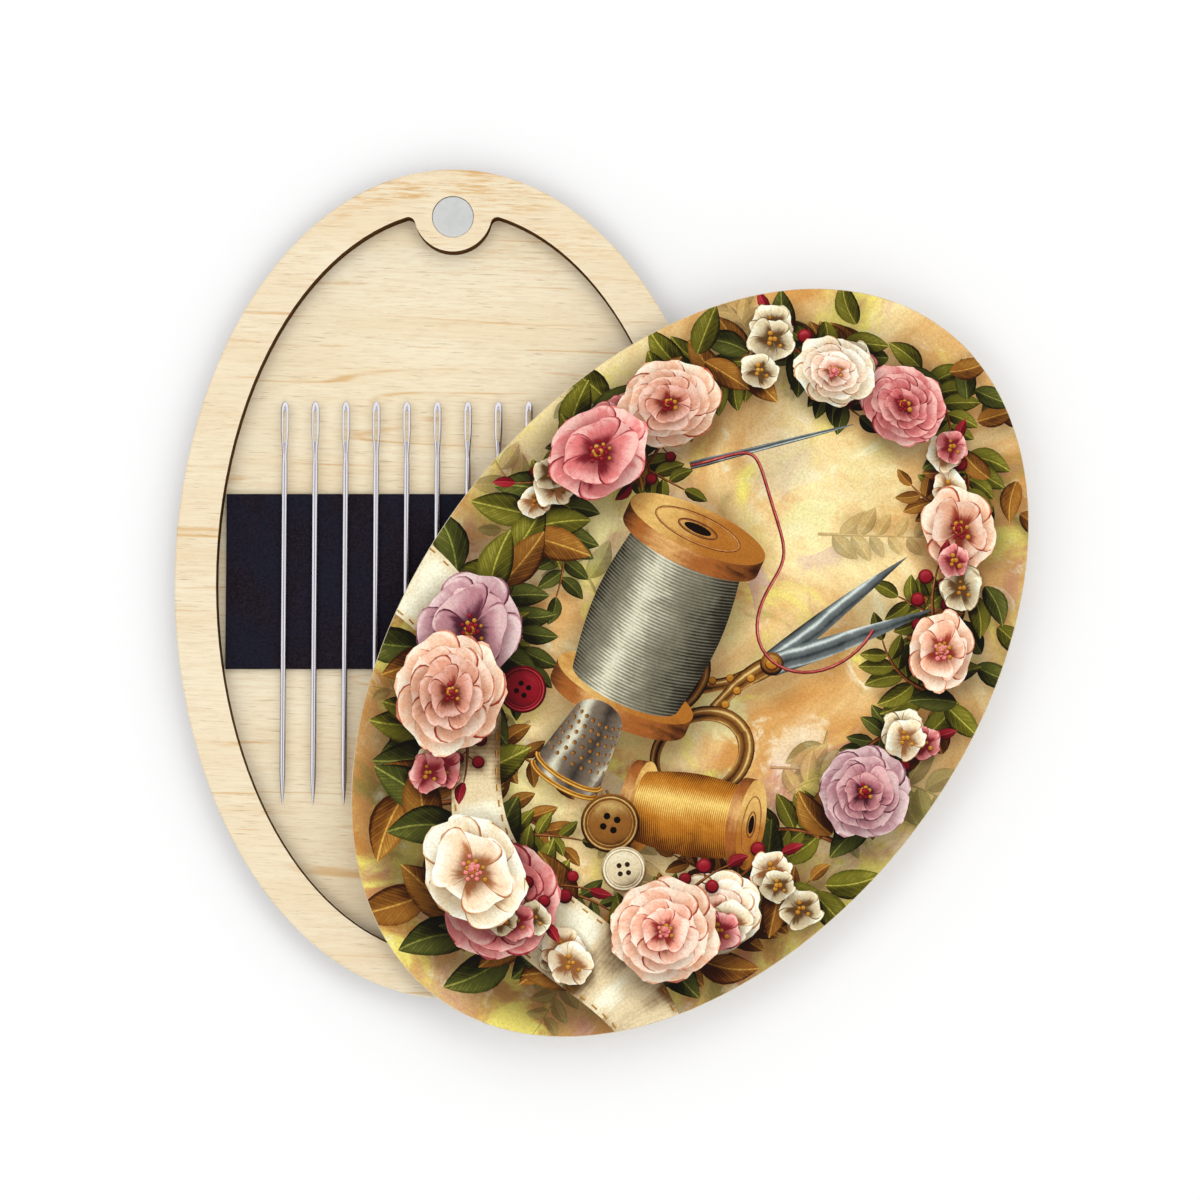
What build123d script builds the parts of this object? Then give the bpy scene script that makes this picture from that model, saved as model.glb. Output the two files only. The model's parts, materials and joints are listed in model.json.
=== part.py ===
from build123d import *
import math
import os

# Oval needle box with a swivel lid.
# Two glued plywood boards make the case: a plain oval base plate and a frame
# that has been cut right through to leave the recess. A magnet is let into a
# round boss of the frame at the +Y end. The lid is two more oval boards, a
# lining with its own magnet and a printed face board above it. A countersunk
# screw comes up through the case at the -Y end and bites in the lining, so the
# lid swings level about it. A black magnetic strip lies across the recess and
# holds a row of twelve needles.
#
# Frame: millimetres, +Z up, +Y from the pivot end to the magnet end. The
# origin is the centre of the base plate's underside. The lid is modelled
# swung out by lid_open_angle, clockwise when looking down on the box.

# Outline of the boards
case_length = 120.0
case_width = 80.0
rim_width = 6.0
edge_break = 0.2

# Board thicknesses
base_thickness = 3.0
frame_thickness = 3.0
lining_thickness = 2.0
face_thickness = 2.0
lid_gap = 0.1

# Closing magnets, one in the frame and one in the lid's lining
magnet_diameter = 6.0
magnet_clearance = 0.05
magnet_chamfer = 0.2
magnet_end_distance = 7.0

# Boss that the recess leaves round the frame's magnet
boss_radius = 5.7
boss_wall = 2.1
boss_corner_radius = 1.0

# Pivot screw, countersunk, with a cross recess in its head
pivot_end_distance = 3.5
screw_diameter = 2.0
screw_bore_clearance = 0.08
screw_head_diameter = 3.8
screw_head_rim = 0.15
screw_head_clearance = 0.1
screw_point_length = 0.8
screw_tip_clearance = 0.1
cross_span = 2.0
cross_slot_width = 0.5
cross_depth = 0.6

# Magnetic strip
strip_width = 25.4
strip_thickness = 1.0
strip_corner_gap = 0.25

# Needles
needle_count = 12
needle_pitch = 4.43
needle_length = 58.6
needle_diameter = 0.9
needle_sides = 12
needle_lift = 0.03
needle_shift = -3.1
# Needle point
point_length = 5.5
point_middle_diameter = 0.6
point_tip_diameter = 0.1
# Needle head, pressed flat: an oval that narrows to a neck and runs into the round shaft
head_width = 1.22
head_thickness = 0.76
head_round_length = 1.4
head_round_steps = 3
head_waist_distance = 4.8
neck_distance = 8.2
neck_width = 0.78
neck_thickness = 0.84
head_length = 9.6
crown_width = 0.3
crown_thickness = 0.24
# Eye, and the gutter that leads the thread into it on both sides
eye_start = 1.4
eye_length = 4.6
eye_width = 0.55
gutter_start = 0.4
gutter_length = 7.7
gutter_width = 0.3
gutter_web = 0.46
gutter_runout = 1.6

# Rest pose
lid_open_angle = 37.5

# Heights and places that follow from the sizes above
frame_bottom = base_thickness
frame_top = frame_bottom + frame_thickness
lining_bottom = frame_top + lid_gap
face_bottom = lining_bottom + lining_thickness
strip_top = base_thickness + strip_thickness
magnet_y = case_length / 2 - magnet_end_distance
pivot_y = -(case_length / 2 - pivot_end_distance)
pocket_radius = magnet_diameter / 2 + magnet_clearance
screw_radius = screw_diameter / 2
screw_head_radius = screw_head_diameter / 2
screw_head_slope = screw_head_radius - screw_radius
screw_bore_radius = screw_radius + screw_bore_clearance
screw_top = face_bottom - screw_tip_clearance
recess_half_width = case_width / 2 - rim_width
recess_half_length = case_length / 2 - rim_width


def board(bottom, thickness):
    """One oval board of the full outline, with its underside at the given height."""
    outline = Ellipse(case_width / 2, case_length / 2)
    return Pos(0, 0, bottom) * extrude(outline, thickness)


def upright_hole(y, radius, bottom, height):
    """A cylinder to cut a hole on the centre line, standing on the given height."""
    return Pos(0, y, bottom) * extrude(Circle(radius), height)


def broken_rim(solid, height):
    """The board with the sharpness sanded off its outer edge at the given height."""
    at_height = solid.edges().filter_by_position(Axis.Z, height, height)
    outer = at_height.sort_by(SortBy.LENGTH)[-1]
    return chamfer([outer], edge_break)


def make_base_plate():
    """Bottom board, bored and countersunk for the pivot screw."""
    plate = board(0, base_thickness)
    plate -= upright_hole(pivot_y, screw_bore_radius, 0, base_thickness)
    sink_radius = screw_head_radius + screw_head_clearance
    sink_depth = sink_radius - screw_bore_radius
    rim_depth = screw_head_clearance + screw_head_rim
    sink = upright_hole(pivot_y, sink_radius, 0, rim_depth)
    cone = Cone(
        sink_radius, screw_bore_radius, sink_depth, align=(Align.CENTER, Align.CENTER, Align.MIN)
    )
    plate -= sink + Pos(0, pivot_y, rim_depth) * cone
    return broken_rim(plate, 0)


def recess_outline():
    """Plan of the recess: an oval with the magnet boss left standing at one end."""
    boss_y = magnet_y - magnet_diameter / 2 - boss_wall + boss_radius
    oval = Ellipse(recess_half_width, recess_half_length)
    plan = oval - Pos(0, boss_y) * Circle(boss_radius)
    horns = plan.vertices().filter_by_position(Axis.Y, magnet_y - boss_radius, recess_half_length)
    return fillet(horns, boss_corner_radius)


def make_frame_ring():
    """Frame board: the recess, the magnet's hole and the pivot bore cut through it."""
    ring = board(frame_bottom, frame_thickness)
    ring -= Pos(0, 0, frame_bottom) * extrude(recess_outline(), frame_thickness)
    ring -= upright_hole(magnet_y, pocket_radius, frame_bottom, frame_thickness)
    ring -= upright_hole(pivot_y, screw_bore_radius, frame_bottom, frame_thickness)
    return broken_rim(ring, frame_top)


def make_magnet(bottom, thickness):
    """Disc magnet with broken edges."""
    disc = upright_hole(magnet_y, magnet_diameter / 2, bottom, thickness)
    return chamfer(disc.edges().filter_by(GeomType.CIRCLE), magnet_chamfer)


def make_magnetic_strip():
    """Black strip across the recess, cut so that its corners just clear the oval wall."""
    corner_share = (strip_width / 2) / recess_half_length
    corner_x = recess_half_width * math.sqrt(1 - corner_share**2)
    strip_length = 2 * (corner_x - strip_corner_gap)
    plan = Rectangle(strip_length, strip_width)
    return Pos(0, 0, base_thickness) * extrude(plan, strip_thickness)


def cross_section(y, width, thickness):
    """Cross-section of a needle at the given place, an oval of needle_sides straight sides."""
    corners = []
    for side in range(needle_sides):
        angle = 2 * math.pi * side / needle_sides
        corners.append((width / 2 * math.cos(angle), thickness / 2 * math.sin(angle)))
    across = Plane((0, y, 0), x_dir=(1, 0, 0), z_dir=(0, -1, 0))
    return across * Polygon(*corners, align=None)


def make_needle_body():
    """Needle without its eye: a long point, the shaft, the neck and the flat head with a round end."""
    eye_end = needle_length / 2
    sections = [
        cross_section(-eye_end, point_tip_diameter, point_tip_diameter),
        cross_section(-eye_end + point_length / 2, point_middle_diameter, point_middle_diameter),
        cross_section(-eye_end + point_length, needle_diameter, needle_diameter),
        cross_section(eye_end - head_length, needle_diameter, needle_diameter),
        cross_section(eye_end - neck_distance, neck_width, neck_thickness),
        cross_section(eye_end - head_waist_distance, head_width, head_thickness),
    ]
    for step in range(head_round_steps):
        angle = math.pi / 2 * step / head_round_steps
        y = eye_end - head_round_length * (1 - math.sin(angle))
        width = head_width * math.cos(angle)
        thickness = head_thickness * math.sqrt(math.cos(angle))
        sections.append(cross_section(y, width, thickness))
    sections.append(cross_section(eye_end, crown_width, crown_thickness))
    return loft(sections, ruled=True)


def eye_plan():
    """Plan of the eye: a lengthwise slot whose two ends are rounded by needle_sides short sides."""
    corner_radius = eye_width / 2 / math.cos(math.pi / needle_sides)
    end_centre = (eye_length - eye_width) / 2
    corners = []
    for side in range(needle_sides):
        angle = 2 * math.pi * (side + 0.5) / needle_sides
        y = math.copysign(end_centre, math.sin(angle)) + corner_radius * math.sin(angle)
        corners.append((corner_radius * math.cos(angle), y))
    return Polygon(*corners, align=None)


def make_gutter_cutter():
    """What is ground out above the needle's middle: level over the eye, running out at both ends."""
    start_y = needle_length / 2 - gutter_start
    end_y = start_y - gutter_length
    floor = gutter_web / 2
    surface = needle_diameter / 2
    side_view = Polyline(
        (start_y, surface),
        (start_y - gutter_runout, floor),
        (end_y + gutter_runout, floor),
        (end_y, surface),
        close=True,
    )
    return extrude(Plane.YZ * make_face(side_view), gutter_width / 2, both=True)


def make_needle():
    """One needle lying along Y on the origin, with its eye at the +Y end."""
    eye_y = needle_length / 2 - eye_start - eye_length / 2
    eye = extrude(Pos(0, eye_y) * eye_plan(), head_thickness, both=True)
    gutter = make_gutter_cutter()
    pierced = make_needle_body() - eye
    return pierced - gutter - mirror(gutter, Plane.XY)


def make_pivot_screw():
    """Countersunk screw, head down, with its point just under the face board."""
    head_face = screw_head_clearance
    rim_top = head_face + screw_head_rim
    cone_top = rim_top + screw_head_slope
    shank_top = screw_top - screw_point_length
    profile = Polyline(
        (0, head_face),
        (screw_head_radius, head_face),
        (screw_head_radius, rim_top),
        (screw_radius, cone_top),
        (screw_radius, shank_top),
        (0, screw_top),
        close=True,
    )
    screw = revolve(Plane.XZ * make_face(profile), Axis.Z)
    slot = Box(
        cross_span, cross_slot_width, cross_depth, align=(Align.CENTER, Align.CENTER, Align.MIN)
    )
    cross = Pos(0, 0, head_face) * (slot + Rot(0, 0, 90) * slot)
    return Pos(0, pivot_y, 0) * (screw - cross)


def make_lid_lining():
    """Lid's lower board, with a hole for its magnet and the hole that the screw bites in."""
    lining = board(lining_bottom, lining_thickness)
    lining -= upright_hole(magnet_y, pocket_radius, lining_bottom, lining_thickness)
    lining -= upright_hole(pivot_y, screw_radius, lining_bottom, lining_thickness)
    return lining


def make_lid_face():
    """Lid's printed top board."""
    return broken_rim(board(face_bottom, face_thickness), face_bottom + face_thickness)


def swung_out(piece):
    """The piece turned about the pivot from the closed pose to the rest pose."""
    to_pivot = Pos(0, pivot_y, 0)
    back = Pos(0, -pivot_y, 0)
    return to_pivot * Rot(0, 0, -lid_open_angle) * back * piece


parts = {
    "base_plate": make_base_plate(),
    "frame_ring": make_frame_ring(),
    "frame_magnet": make_magnet(frame_bottom, frame_thickness),
    "magnetic_strip": make_magnetic_strip(),
    "lid_lining": swung_out(make_lid_lining()),
    "lid_face": swung_out(make_lid_face()),
    "lid_magnet": swung_out(make_magnet(lining_bottom, lining_thickness)),
    "pivot_screw": swung_out(make_pivot_screw()),
}

needle = make_needle()
needle_z = strip_top + needle_lift + needle_diameter / 2
for number in range(needle_count):
    needle_x = (number - (needle_count - 1) / 2) * needle_pitch
    parts[f"needle_{number + 1:02d}"] = Pos(needle_x, needle_shift, needle_z) * needle

os.makedirs("parts", exist_ok=True)
for name, piece in parts.items():
    export_step(piece, f"parts/{name}.step")
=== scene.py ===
"""Looks of an oval plywood needle box: finishes, finer needles and the printed lid board.

Everything is in metres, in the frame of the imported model: +Z up, +Y from the pivot end of the
case to its magnet end, with the lid swung out to +X.
"""
import cmath
import json
import logging
import math
import random
from dataclasses import dataclass, field
from enum import Enum

import bmesh
import bpy
from mathutils import Matrix, Vector
from mathutils.geometry import delaunay_2d_cdt


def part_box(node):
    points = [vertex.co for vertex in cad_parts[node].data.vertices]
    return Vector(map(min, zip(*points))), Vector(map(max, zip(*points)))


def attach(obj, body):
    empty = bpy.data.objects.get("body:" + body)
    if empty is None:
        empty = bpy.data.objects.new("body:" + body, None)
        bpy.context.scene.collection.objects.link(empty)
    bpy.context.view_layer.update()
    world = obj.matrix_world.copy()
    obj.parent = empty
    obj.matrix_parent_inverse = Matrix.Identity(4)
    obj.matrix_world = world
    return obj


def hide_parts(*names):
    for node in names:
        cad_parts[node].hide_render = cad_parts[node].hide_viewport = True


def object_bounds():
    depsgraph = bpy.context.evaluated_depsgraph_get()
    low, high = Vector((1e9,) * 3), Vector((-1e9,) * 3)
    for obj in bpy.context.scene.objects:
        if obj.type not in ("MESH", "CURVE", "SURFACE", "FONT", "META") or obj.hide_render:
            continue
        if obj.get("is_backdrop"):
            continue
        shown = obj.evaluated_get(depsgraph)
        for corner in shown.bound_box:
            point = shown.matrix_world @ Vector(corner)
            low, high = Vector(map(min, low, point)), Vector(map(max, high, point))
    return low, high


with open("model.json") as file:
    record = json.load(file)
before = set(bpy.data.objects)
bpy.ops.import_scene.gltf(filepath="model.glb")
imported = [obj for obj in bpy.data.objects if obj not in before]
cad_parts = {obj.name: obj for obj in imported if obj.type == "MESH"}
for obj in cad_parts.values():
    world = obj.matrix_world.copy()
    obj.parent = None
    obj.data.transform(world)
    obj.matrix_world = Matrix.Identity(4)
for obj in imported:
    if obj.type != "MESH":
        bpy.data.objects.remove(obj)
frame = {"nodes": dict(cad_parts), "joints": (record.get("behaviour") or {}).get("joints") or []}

log = logging.getLogger("needle_box")

MM = 0.001
Colour = tuple[float, float, float]
Socket = bpy.types.NodeSocket
Value = float | Socket


def srgb(red: int, green: int, blue: int) -> Colour:
    """Linear colour of an 8-bit display colour.

    Args:
        red: Red from 0 to 255.
        green: Green from 0 to 255.
        blue: Blue from 0 to 255.

    Returns:
        The three linear values.
    """
    levels = (channel / 255 for channel in (red, green, blue))
    return tuple(v / 12.92 if v <= 0.04045 else ((v + 0.055) / 1.055) ** 2.4 for v in levels)


class NodeGraph:
    """Nodes under construction, with short calls for the ones that the finishes use."""

    def __init__(self, tree: bpy.types.NodeTree) -> None:
        """Empties a node tree and keeps it.

        Args:
            tree: Node tree of a material or of the world.
        """
        self.tree = tree
        tree.nodes.clear()

    def add(self, kind: str, **settings: object) -> bpy.types.Node:
        """Adds a node and sets its properties.

        Args:
            kind: Blender's type name of the node.
            settings: Property names and values.

        Returns:
            The new node.
        """
        node = self.tree.nodes.new(kind)
        for name, value in settings.items():
            setattr(node, name, value)
        return node

    def put(self, socket: Socket, value: object) -> None:
        """Links a socket's output to an input, or writes a plain value on the input.

        Args:
            socket: The input to feed.
            value: An output socket, a number, a colour or a vector.
        """
        if isinstance(value, Socket):
            self.tree.links.new(value, socket)
        elif isinstance(value, tuple) and socket.type == "RGBA" and len(value) == 3:
            socket.default_value = (*value, 1.0)
        else:
            socket.default_value = value

    def fed(self, node: bpy.types.Node, values: tuple[Value, ...]) -> Socket:
        """Feeds a node's inputs in order.

        Args:
            node: The node.
            values: Output sockets or plain values, one for each input in use.

        Returns:
            The node's first output.
        """
        for socket, value in zip(node.inputs, values):
            self.put(socket, value)
        return node.outputs[0]

    def math(self, operation: str, *values: Value) -> Socket:
        """Result of one Math node of the named operation, on one to three values."""
        return self.fed(self.add("ShaderNodeMath", operation=operation), values)

    def times(self, a: Value, b: Value) -> Socket:
        """Product of two values."""
        return self.math("MULTIPLY", a, b)

    def plus(self, a: Value, b: Value) -> Socket:
        """Sum of two values."""
        return self.math("ADD", a, b)

    def minus(self, a: Value, b: Value) -> Socket:
        """First value less the second."""
        return self.math("SUBTRACT", a, b)

    def scaled(self, a: Value, factor: Value, offset: Value) -> Socket:
        """A value times a factor, plus an offset."""
        return self.math("MULTIPLY_ADD", a, factor, offset)

    def reach(self, x: Value, y: Value) -> Socket:
        """Distance of a place from the origin of its plane."""
        return self.math("SQRT", self.plus(self.times(x, x), self.times(y, y)))

    def blend(self, factor: Value, a: object, b: object, mode: str = "MIX") -> Socket:
        """Mixes two colours.

        Args:
            factor: Share of the second colour.
            a: First colour.
            b: Second colour.
            mode: Blend type.

        Returns:
            The mixed colour.
        """
        node = self.add("ShaderNodeMix", data_type="RGBA", blend_type=mode, clamp_result=True)
        self.put(node.inputs[0], factor)
        self.put(node.inputs[6], a)
        self.put(node.inputs[7], b)
        return node.outputs[2]

    def smooth(self, value: Value, low: float, high: float) -> Socket:
        """A smooth step from 0 at low to 1 at high; with low above high it falls instead.

        Args:
            value: What is measured.
            low: Where the step starts.
            high: Where the step ends.

        Returns:
            The step's height from 0 to 1.
        """
        node = self.add("ShaderNodeMapRange", interpolation_type="SMOOTHSTEP", clamp=True)
        self.put(node.inputs["Value"], value)
        lower, upper = min(low, high), max(low, high)
        node.inputs["From Min"].default_value = lower
        node.inputs["From Max"].default_value = upper
        node.inputs["To Min"].default_value = 0.0 if low < high else 1.0
        node.inputs["To Max"].default_value = 1.0 if low < high else 0.0
        return node.outputs["Result"]

    def place(self, scale: Colour, turn: float = 0.0, centre: Vector | None = None) -> Socket:
        """Object coordinates in millimetres, turned back about a centre and divided by a grain size.

        Args:
            scale: Size in millimetres that becomes 1 along each axis.
            turn: Angle in radians, turned about the centre before the division.
            centre: Centre of the turn in metres.

        Returns:
            The coordinates for a pattern.
        """
        coordinates = self.add("ShaderNodeTexCoord").outputs["Object"]
        middle = centre or Vector((0.0, 0.0, 0.0))
        turned = self.add("ShaderNodeMapping", vector_type="POINT")
        self.put(turned.inputs["Vector"], coordinates)
        turned.inputs["Rotation"].default_value = (0.0, 0.0, turn)
        turned.inputs["Location"].default_value = middle - Matrix.Rotation(turn, 3, "Z") @ middle
        grain = self.add("ShaderNodeMapping", vector_type="POINT")
        self.put(grain.inputs["Vector"], turned.outputs["Vector"])
        grain.inputs["Scale"].default_value = [1.0 / (size * MM) for size in scale]
        return grain.outputs["Vector"]

    def noise(self, vector: Socket, detail: float, rough: float, distortion: float = 0.0) -> Socket:
        """Noise of scale 1 on a vector.

        Args:
            vector: Where to read it.
            detail: Number of finer layers.
            rough: Strength of the finer layers.
            distortion: How far the pattern is bent.

        Returns:
            The noise, about 0 to 1 round 0.5.
        """
        node = self.add("ShaderNodeTexNoise", noise_dimensions="3D")
        self.put(node.inputs["Vector"], vector)
        node.inputs["Scale"].default_value = 1.0
        node.inputs["Detail"].default_value = detail
        node.inputs["Roughness"].default_value = rough
        node.inputs["Distortion"].default_value = distortion
        return node.outputs["Fac"]

    def attribute(self, name: str, output: str) -> Socket:
        """A value that the mesh carries.

        Args:
            name: Name of the mesh's attribute.
            output: Name of the node's output.

        Returns:
            The value.
        """
        return self.add("ShaderNodeAttribute", attribute_name=name).outputs[output]

    def split(self, vector: Socket) -> tuple[Socket, Socket, Socket]:
        """The three parts of a vector."""
        node = self.add("ShaderNodeSeparateXYZ")
        self.put(node.inputs[0], vector)
        return tuple(node.outputs)

    def join(self, *parts: Value) -> Socket:
        """A vector of three values."""
        return self.fed(self.add("ShaderNodeCombineXYZ"), parts)

    def bands(self, value: Socket, stops: list[tuple[float, float]]) -> Socket:
        """A level that rises and falls between given stops.

        Args:
            value: What is measured, from -1 to 1.
            stops: Places from 0 to 1 over that range, with the level at each.

        Returns:
            The level.
        """
        node = self.add("ShaderNodeValToRGB")
        self.put(node.inputs["Fac"], self.scaled(value, 0.5, 0.5))
        points = node.color_ramp.elements
        while len(points) < len(stops):
            points.new(1.0)
        for point, (place, level) in zip(points, stops):
            point.position = place
            point.color = (level, level, level, 1.0)
        return node.outputs["Color"]


class ShaderGraph(NodeGraph):
    """Nodes of a material with one Principled shader."""

    def __init__(self, name: str) -> None:
        """Starts the material.

        Args:
            name: Name of the material.
        """
        self.material = bpy.data.materials.new(name)
        self.material.use_nodes = True
        super().__init__(self.material.node_tree)
        self.shader = self.add("ShaderNodeBsdfPrincipled")
        self.put(self.add("ShaderNodeOutputMaterial").inputs["Surface"], self.shader.outputs["BSDF"])

    def set(self, name: str, value: object) -> None:
        """Feeds one input of the Principled shader.

        Args:
            name: Name of the input.
            value: An output socket or a plain value.
        """
        self.put(self.shader.inputs[name], value)

    def bump(self, height: Socket, depth: float, strength: float) -> None:
        """Feeds a bump of the given depth to the shader.

        Args:
            height: Height from 0 to 1.
            depth: Depth in metres of a height of 1.
            strength: Share of the bump that is used.
        """
        node = self.add("ShaderNodeBump")
        node.inputs["Strength"].default_value = strength
        node.inputs["Distance"].default_value = depth
        self.put(node.inputs["Height"], height)
        self.set("Normal", node.outputs["Normal"])

    def upright(self) -> Socket:
        """How level the surface is: 1 on a top or an underside, 0 on a wall."""
        normal = self.add("ShaderNodeNewGeometry").outputs["True Normal"]
        return self.math("ABSOLUTE", self.split(normal)[2])

    def height(self) -> Socket:
        """Height in millimetres above the underside of the base plate."""
        return self.times(self.split(self.add("ShaderNodeTexCoord").outputs["Object"])[2], 1 / MM)


@dataclass(frozen=True)
class Swing:
    """How far a board is turned from the closed box, so that its grain turns with it."""

    turn: float = 0.0
    pivot: Vector = field(default_factory=lambda: Vector((0.0, 0.0, 0.0)))


@dataclass(frozen=True)
class PlywoodFinish:
    """Bare laser-cut birch plywood: cream face veneer with fine grain, scorched cut walls."""

    name: str
    swing: Swing = Swing()
    veneer: float = 1.0
    stained: float = 1.0
    cream: Colour = srgb(248, 235, 206)
    warm: Colour = srgb(243, 223, 188)
    fibre: Colour = srgb(228, 203, 162)
    tan: Colour = srgb(222, 176, 112)
    fleck: Colour = srgb(166, 132, 90)
    slant: float = math.radians(2)
    char: Colour = srgb(68, 38, 2)
    char_light: Colour = srgb(98, 61, 14)

    def grain(self, graph: ShaderGraph, length: float, width: float, *settings: float) -> Socket:
        """Noise that is stretched along X of the board.

        Args:
            graph: Nodes of the material.
            length: Grain size along the fibres in millimetres.
            width: Grain size across them.
            settings: Detail, roughness and distortion of the noise.

        Returns:
            The noise.
        """
        place = graph.place((length, width, 40.0), self.swing.turn + self.slant, self.swing.pivot)
        return graph.noise(place, *settings)

    def face_colour(self, graph: ShaderGraph) -> Socket:
        """Colour of the face veneer: fine fibres, long tan lines, stains and short dark dashes.

        Args:
            graph: Nodes of the material.

        Returns:
            The colour.
        """
        drift = graph.smooth(self.grain(graph, 60.0, 8.0, 3.0, 0.6, 0.4), 0.36, 0.68)
        colour = graph.blend(drift, self.cream, self.warm)
        bands = graph.smooth(self.grain(graph, 15.0, 0.5, 4.0, 0.62), 0.46, 0.78)
        colour = graph.blend(graph.times(bands, 0.45), colour, self.fibre)
        fibres = graph.smooth(self.grain(graph, 4.0, 0.36, 6.0, 0.78, 0.4), 0.44, 0.72)
        colour = graph.blend(graph.times(fibres, 0.75), colour, self.fibre)
        contour = graph.math("ABSOLUTE", graph.minus(self.grain(graph, 110.0, 8.5, 2.0, 0.45), 0.5))
        broken = graph.smooth(self.grain(graph, 16.0, 3.0, 3.0, 0.6), 0.42, 0.62)
        lines = graph.times(graph.smooth(contour, 0.012, 0.001), graph.times(broken, 0.75))
        colour = graph.blend(lines, colour, self.tan)
        streaks = graph.smooth(self.grain(graph, 6.5, 0.5, 5.0, 0.68, 0.6), 0.46, 0.68)
        patches = graph.smooth(self.grain(graph, 22.0, 6.0, 2.0, 0.5), 0.42, 0.6)
        along = graph.split(graph.place((1.0, 1.0, 1.0), self.swing.turn, self.swing.pivot))[1]
        ends = graph.scaled(graph.smooth(along, 38.0, 52.0), 0.8, 0.2)
        stain = graph.times(graph.times(streaks, patches), graph.times(ends, self.stained))
        colour = graph.blend(stain, colour, self.tan)
        dashes = graph.smooth(self.grain(graph, 4.4, 0.22, 3.0, 0.62, 0.3), 0.6, 0.72)
        return graph.blend(graph.times(dashes, 0.55), colour, self.fleck)

    def wall_colour(self, graph: ShaderGraph) -> Socket:
        """Colour of a cut wall: scorched plies with upright marks from the cut.

        Args:
            graph: Nodes of the material.

        Returns:
            The colour.
        """
        ply = graph.math("PINGPONG", graph.math("DIVIDE", graph.height(), self.veneer), 1.0)
        marks = graph.noise(graph.place((0.35, 0.35, 9.0)), 2.0, 0.6)
        pale = graph.times(graph.smooth(ply, 0.35, 0.85), graph.smooth(marks, 0.3, 0.75))
        return graph.blend(pale, self.char, self.char_light)

    def build(self) -> bpy.types.Material:
        """Makes the material.

        Returns:
            The finished material.
        """
        graph = ShaderGraph(self.name)
        cut = graph.smooth(graph.upright(), 0.55, 0.3)
        colour = graph.blend(cut, self.face_colour(graph), self.wall_colour(graph))
        graph.set("Base Color", colour)
        pores = self.grain(graph, 4.0, 0.16, 3.0, 0.6)
        matt = graph.scaled(cut, 0.25, 0.6)
        graph.set("Roughness", graph.scaled(pores, 0.16, matt))
        graph.set("Specular IOR Level", 0.1)
        graph.bump(pores, 0.02 * MM, 0.5)
        return graph.material


@dataclass(frozen=True)
class MagneticSheetFinish:
    """Matt black flexible magnetic sheet with a fine pebbled face."""

    name: str = "magnetic_sheet"
    black: Colour = srgb(23, 18, 22)
    violet_black: Colour = srgb(41, 32, 42)
    blue_black: Colour = srgb(26, 32, 46)

    def build(self) -> bpy.types.Material:
        """Makes the material.

        Returns:
            The finished material.
        """
        graph = ShaderGraph(self.name)
        pebbles = graph.noise(graph.place((0.3, 0.3, 0.3)), 3.0, 0.65)
        cloud = graph.noise(graph.place((7.0, 9.0, 6.0)), 2.0, 0.5)
        specks = graph.noise(graph.place((0.5, 0.45, 0.5)), 2.0, 0.6)
        colour = graph.blend(graph.smooth(pebbles, 0.38, 0.66), self.black, self.violet_black)
        tint = graph.times(graph.smooth(cloud, 0.3, 0.7), graph.smooth(specks, 0.3, 0.6))
        graph.set("Base Color", graph.blend(graph.times(tint, 0.75), colour, self.blue_black))
        graph.set("Roughness", graph.scaled(pebbles, 0.2, 0.65))
        graph.set("Specular IOR Level", 0.06)
        graph.bump(pebbles, 0.03 * MM, 0.6)
        return graph.material


@dataclass(frozen=True)
class MetalFinish:
    """Plated metal, brushed or clouded by stretched noise, its edges worn and its steep sides darkened by
    painted shade.
    """

    name: str
    colour: Colour
    dull: Colour
    roughness: float
    grain: Colour = (0.8, 0.8, 0.8)
    grain_depth: float = 0.002
    edge_metal: float = 1.0
    # Share of painted shade on the steep sides, and the grey that it turns them towards.
    side_shade: float = 0.0
    side_shade_colour: Colour = srgb(104, 100, 104)

    def build(self) -> bpy.types.Material:
        """Makes the material.

        Returns:
            The finished material.
        """
        graph = ShaderGraph(self.name)
        grain = graph.noise(graph.place(self.grain), 3.0, 0.6)
        colour = graph.blend(graph.smooth(grain, 0.35, 0.7), self.colour, self.dull)
        # Painted shade: the steep sides of the form turn towards a darker grey, in place of the shade and
        # dark reflections at a needle's edges.
        if self.side_shade:
            side = graph.smooth(graph.upright(), 0.8, 0.2)
            colour = graph.blend(graph.times(side, self.side_shade), colour, self.side_shade_colour)
        graph.set("Base Color", colour)
        graph.set("Metallic", 1.0)
        if self.edge_metal < 1:
            flat = graph.smooth(graph.upright(), 0.75, 0.95)
            graph.set("Metallic", graph.scaled(flat, 1 - self.edge_metal, self.edge_metal))
        graph.set("Roughness", graph.scaled(grain, 0.12, self.roughness - 0.06))
        graph.bump(grain, self.grain_depth * MM, 0.4)
        return graph.material


def dress(node: str, *materials: bpy.types.Material) -> None:
    """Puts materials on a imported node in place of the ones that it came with.

    Args:
        node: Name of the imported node.
        materials: The materials, in slot order.
    """
    mesh = frame["nodes"][node].data
    mesh.materials.clear()
    for material in materials:
        mesh.materials.append(material)
    log.info("dressed %s", node)


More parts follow.
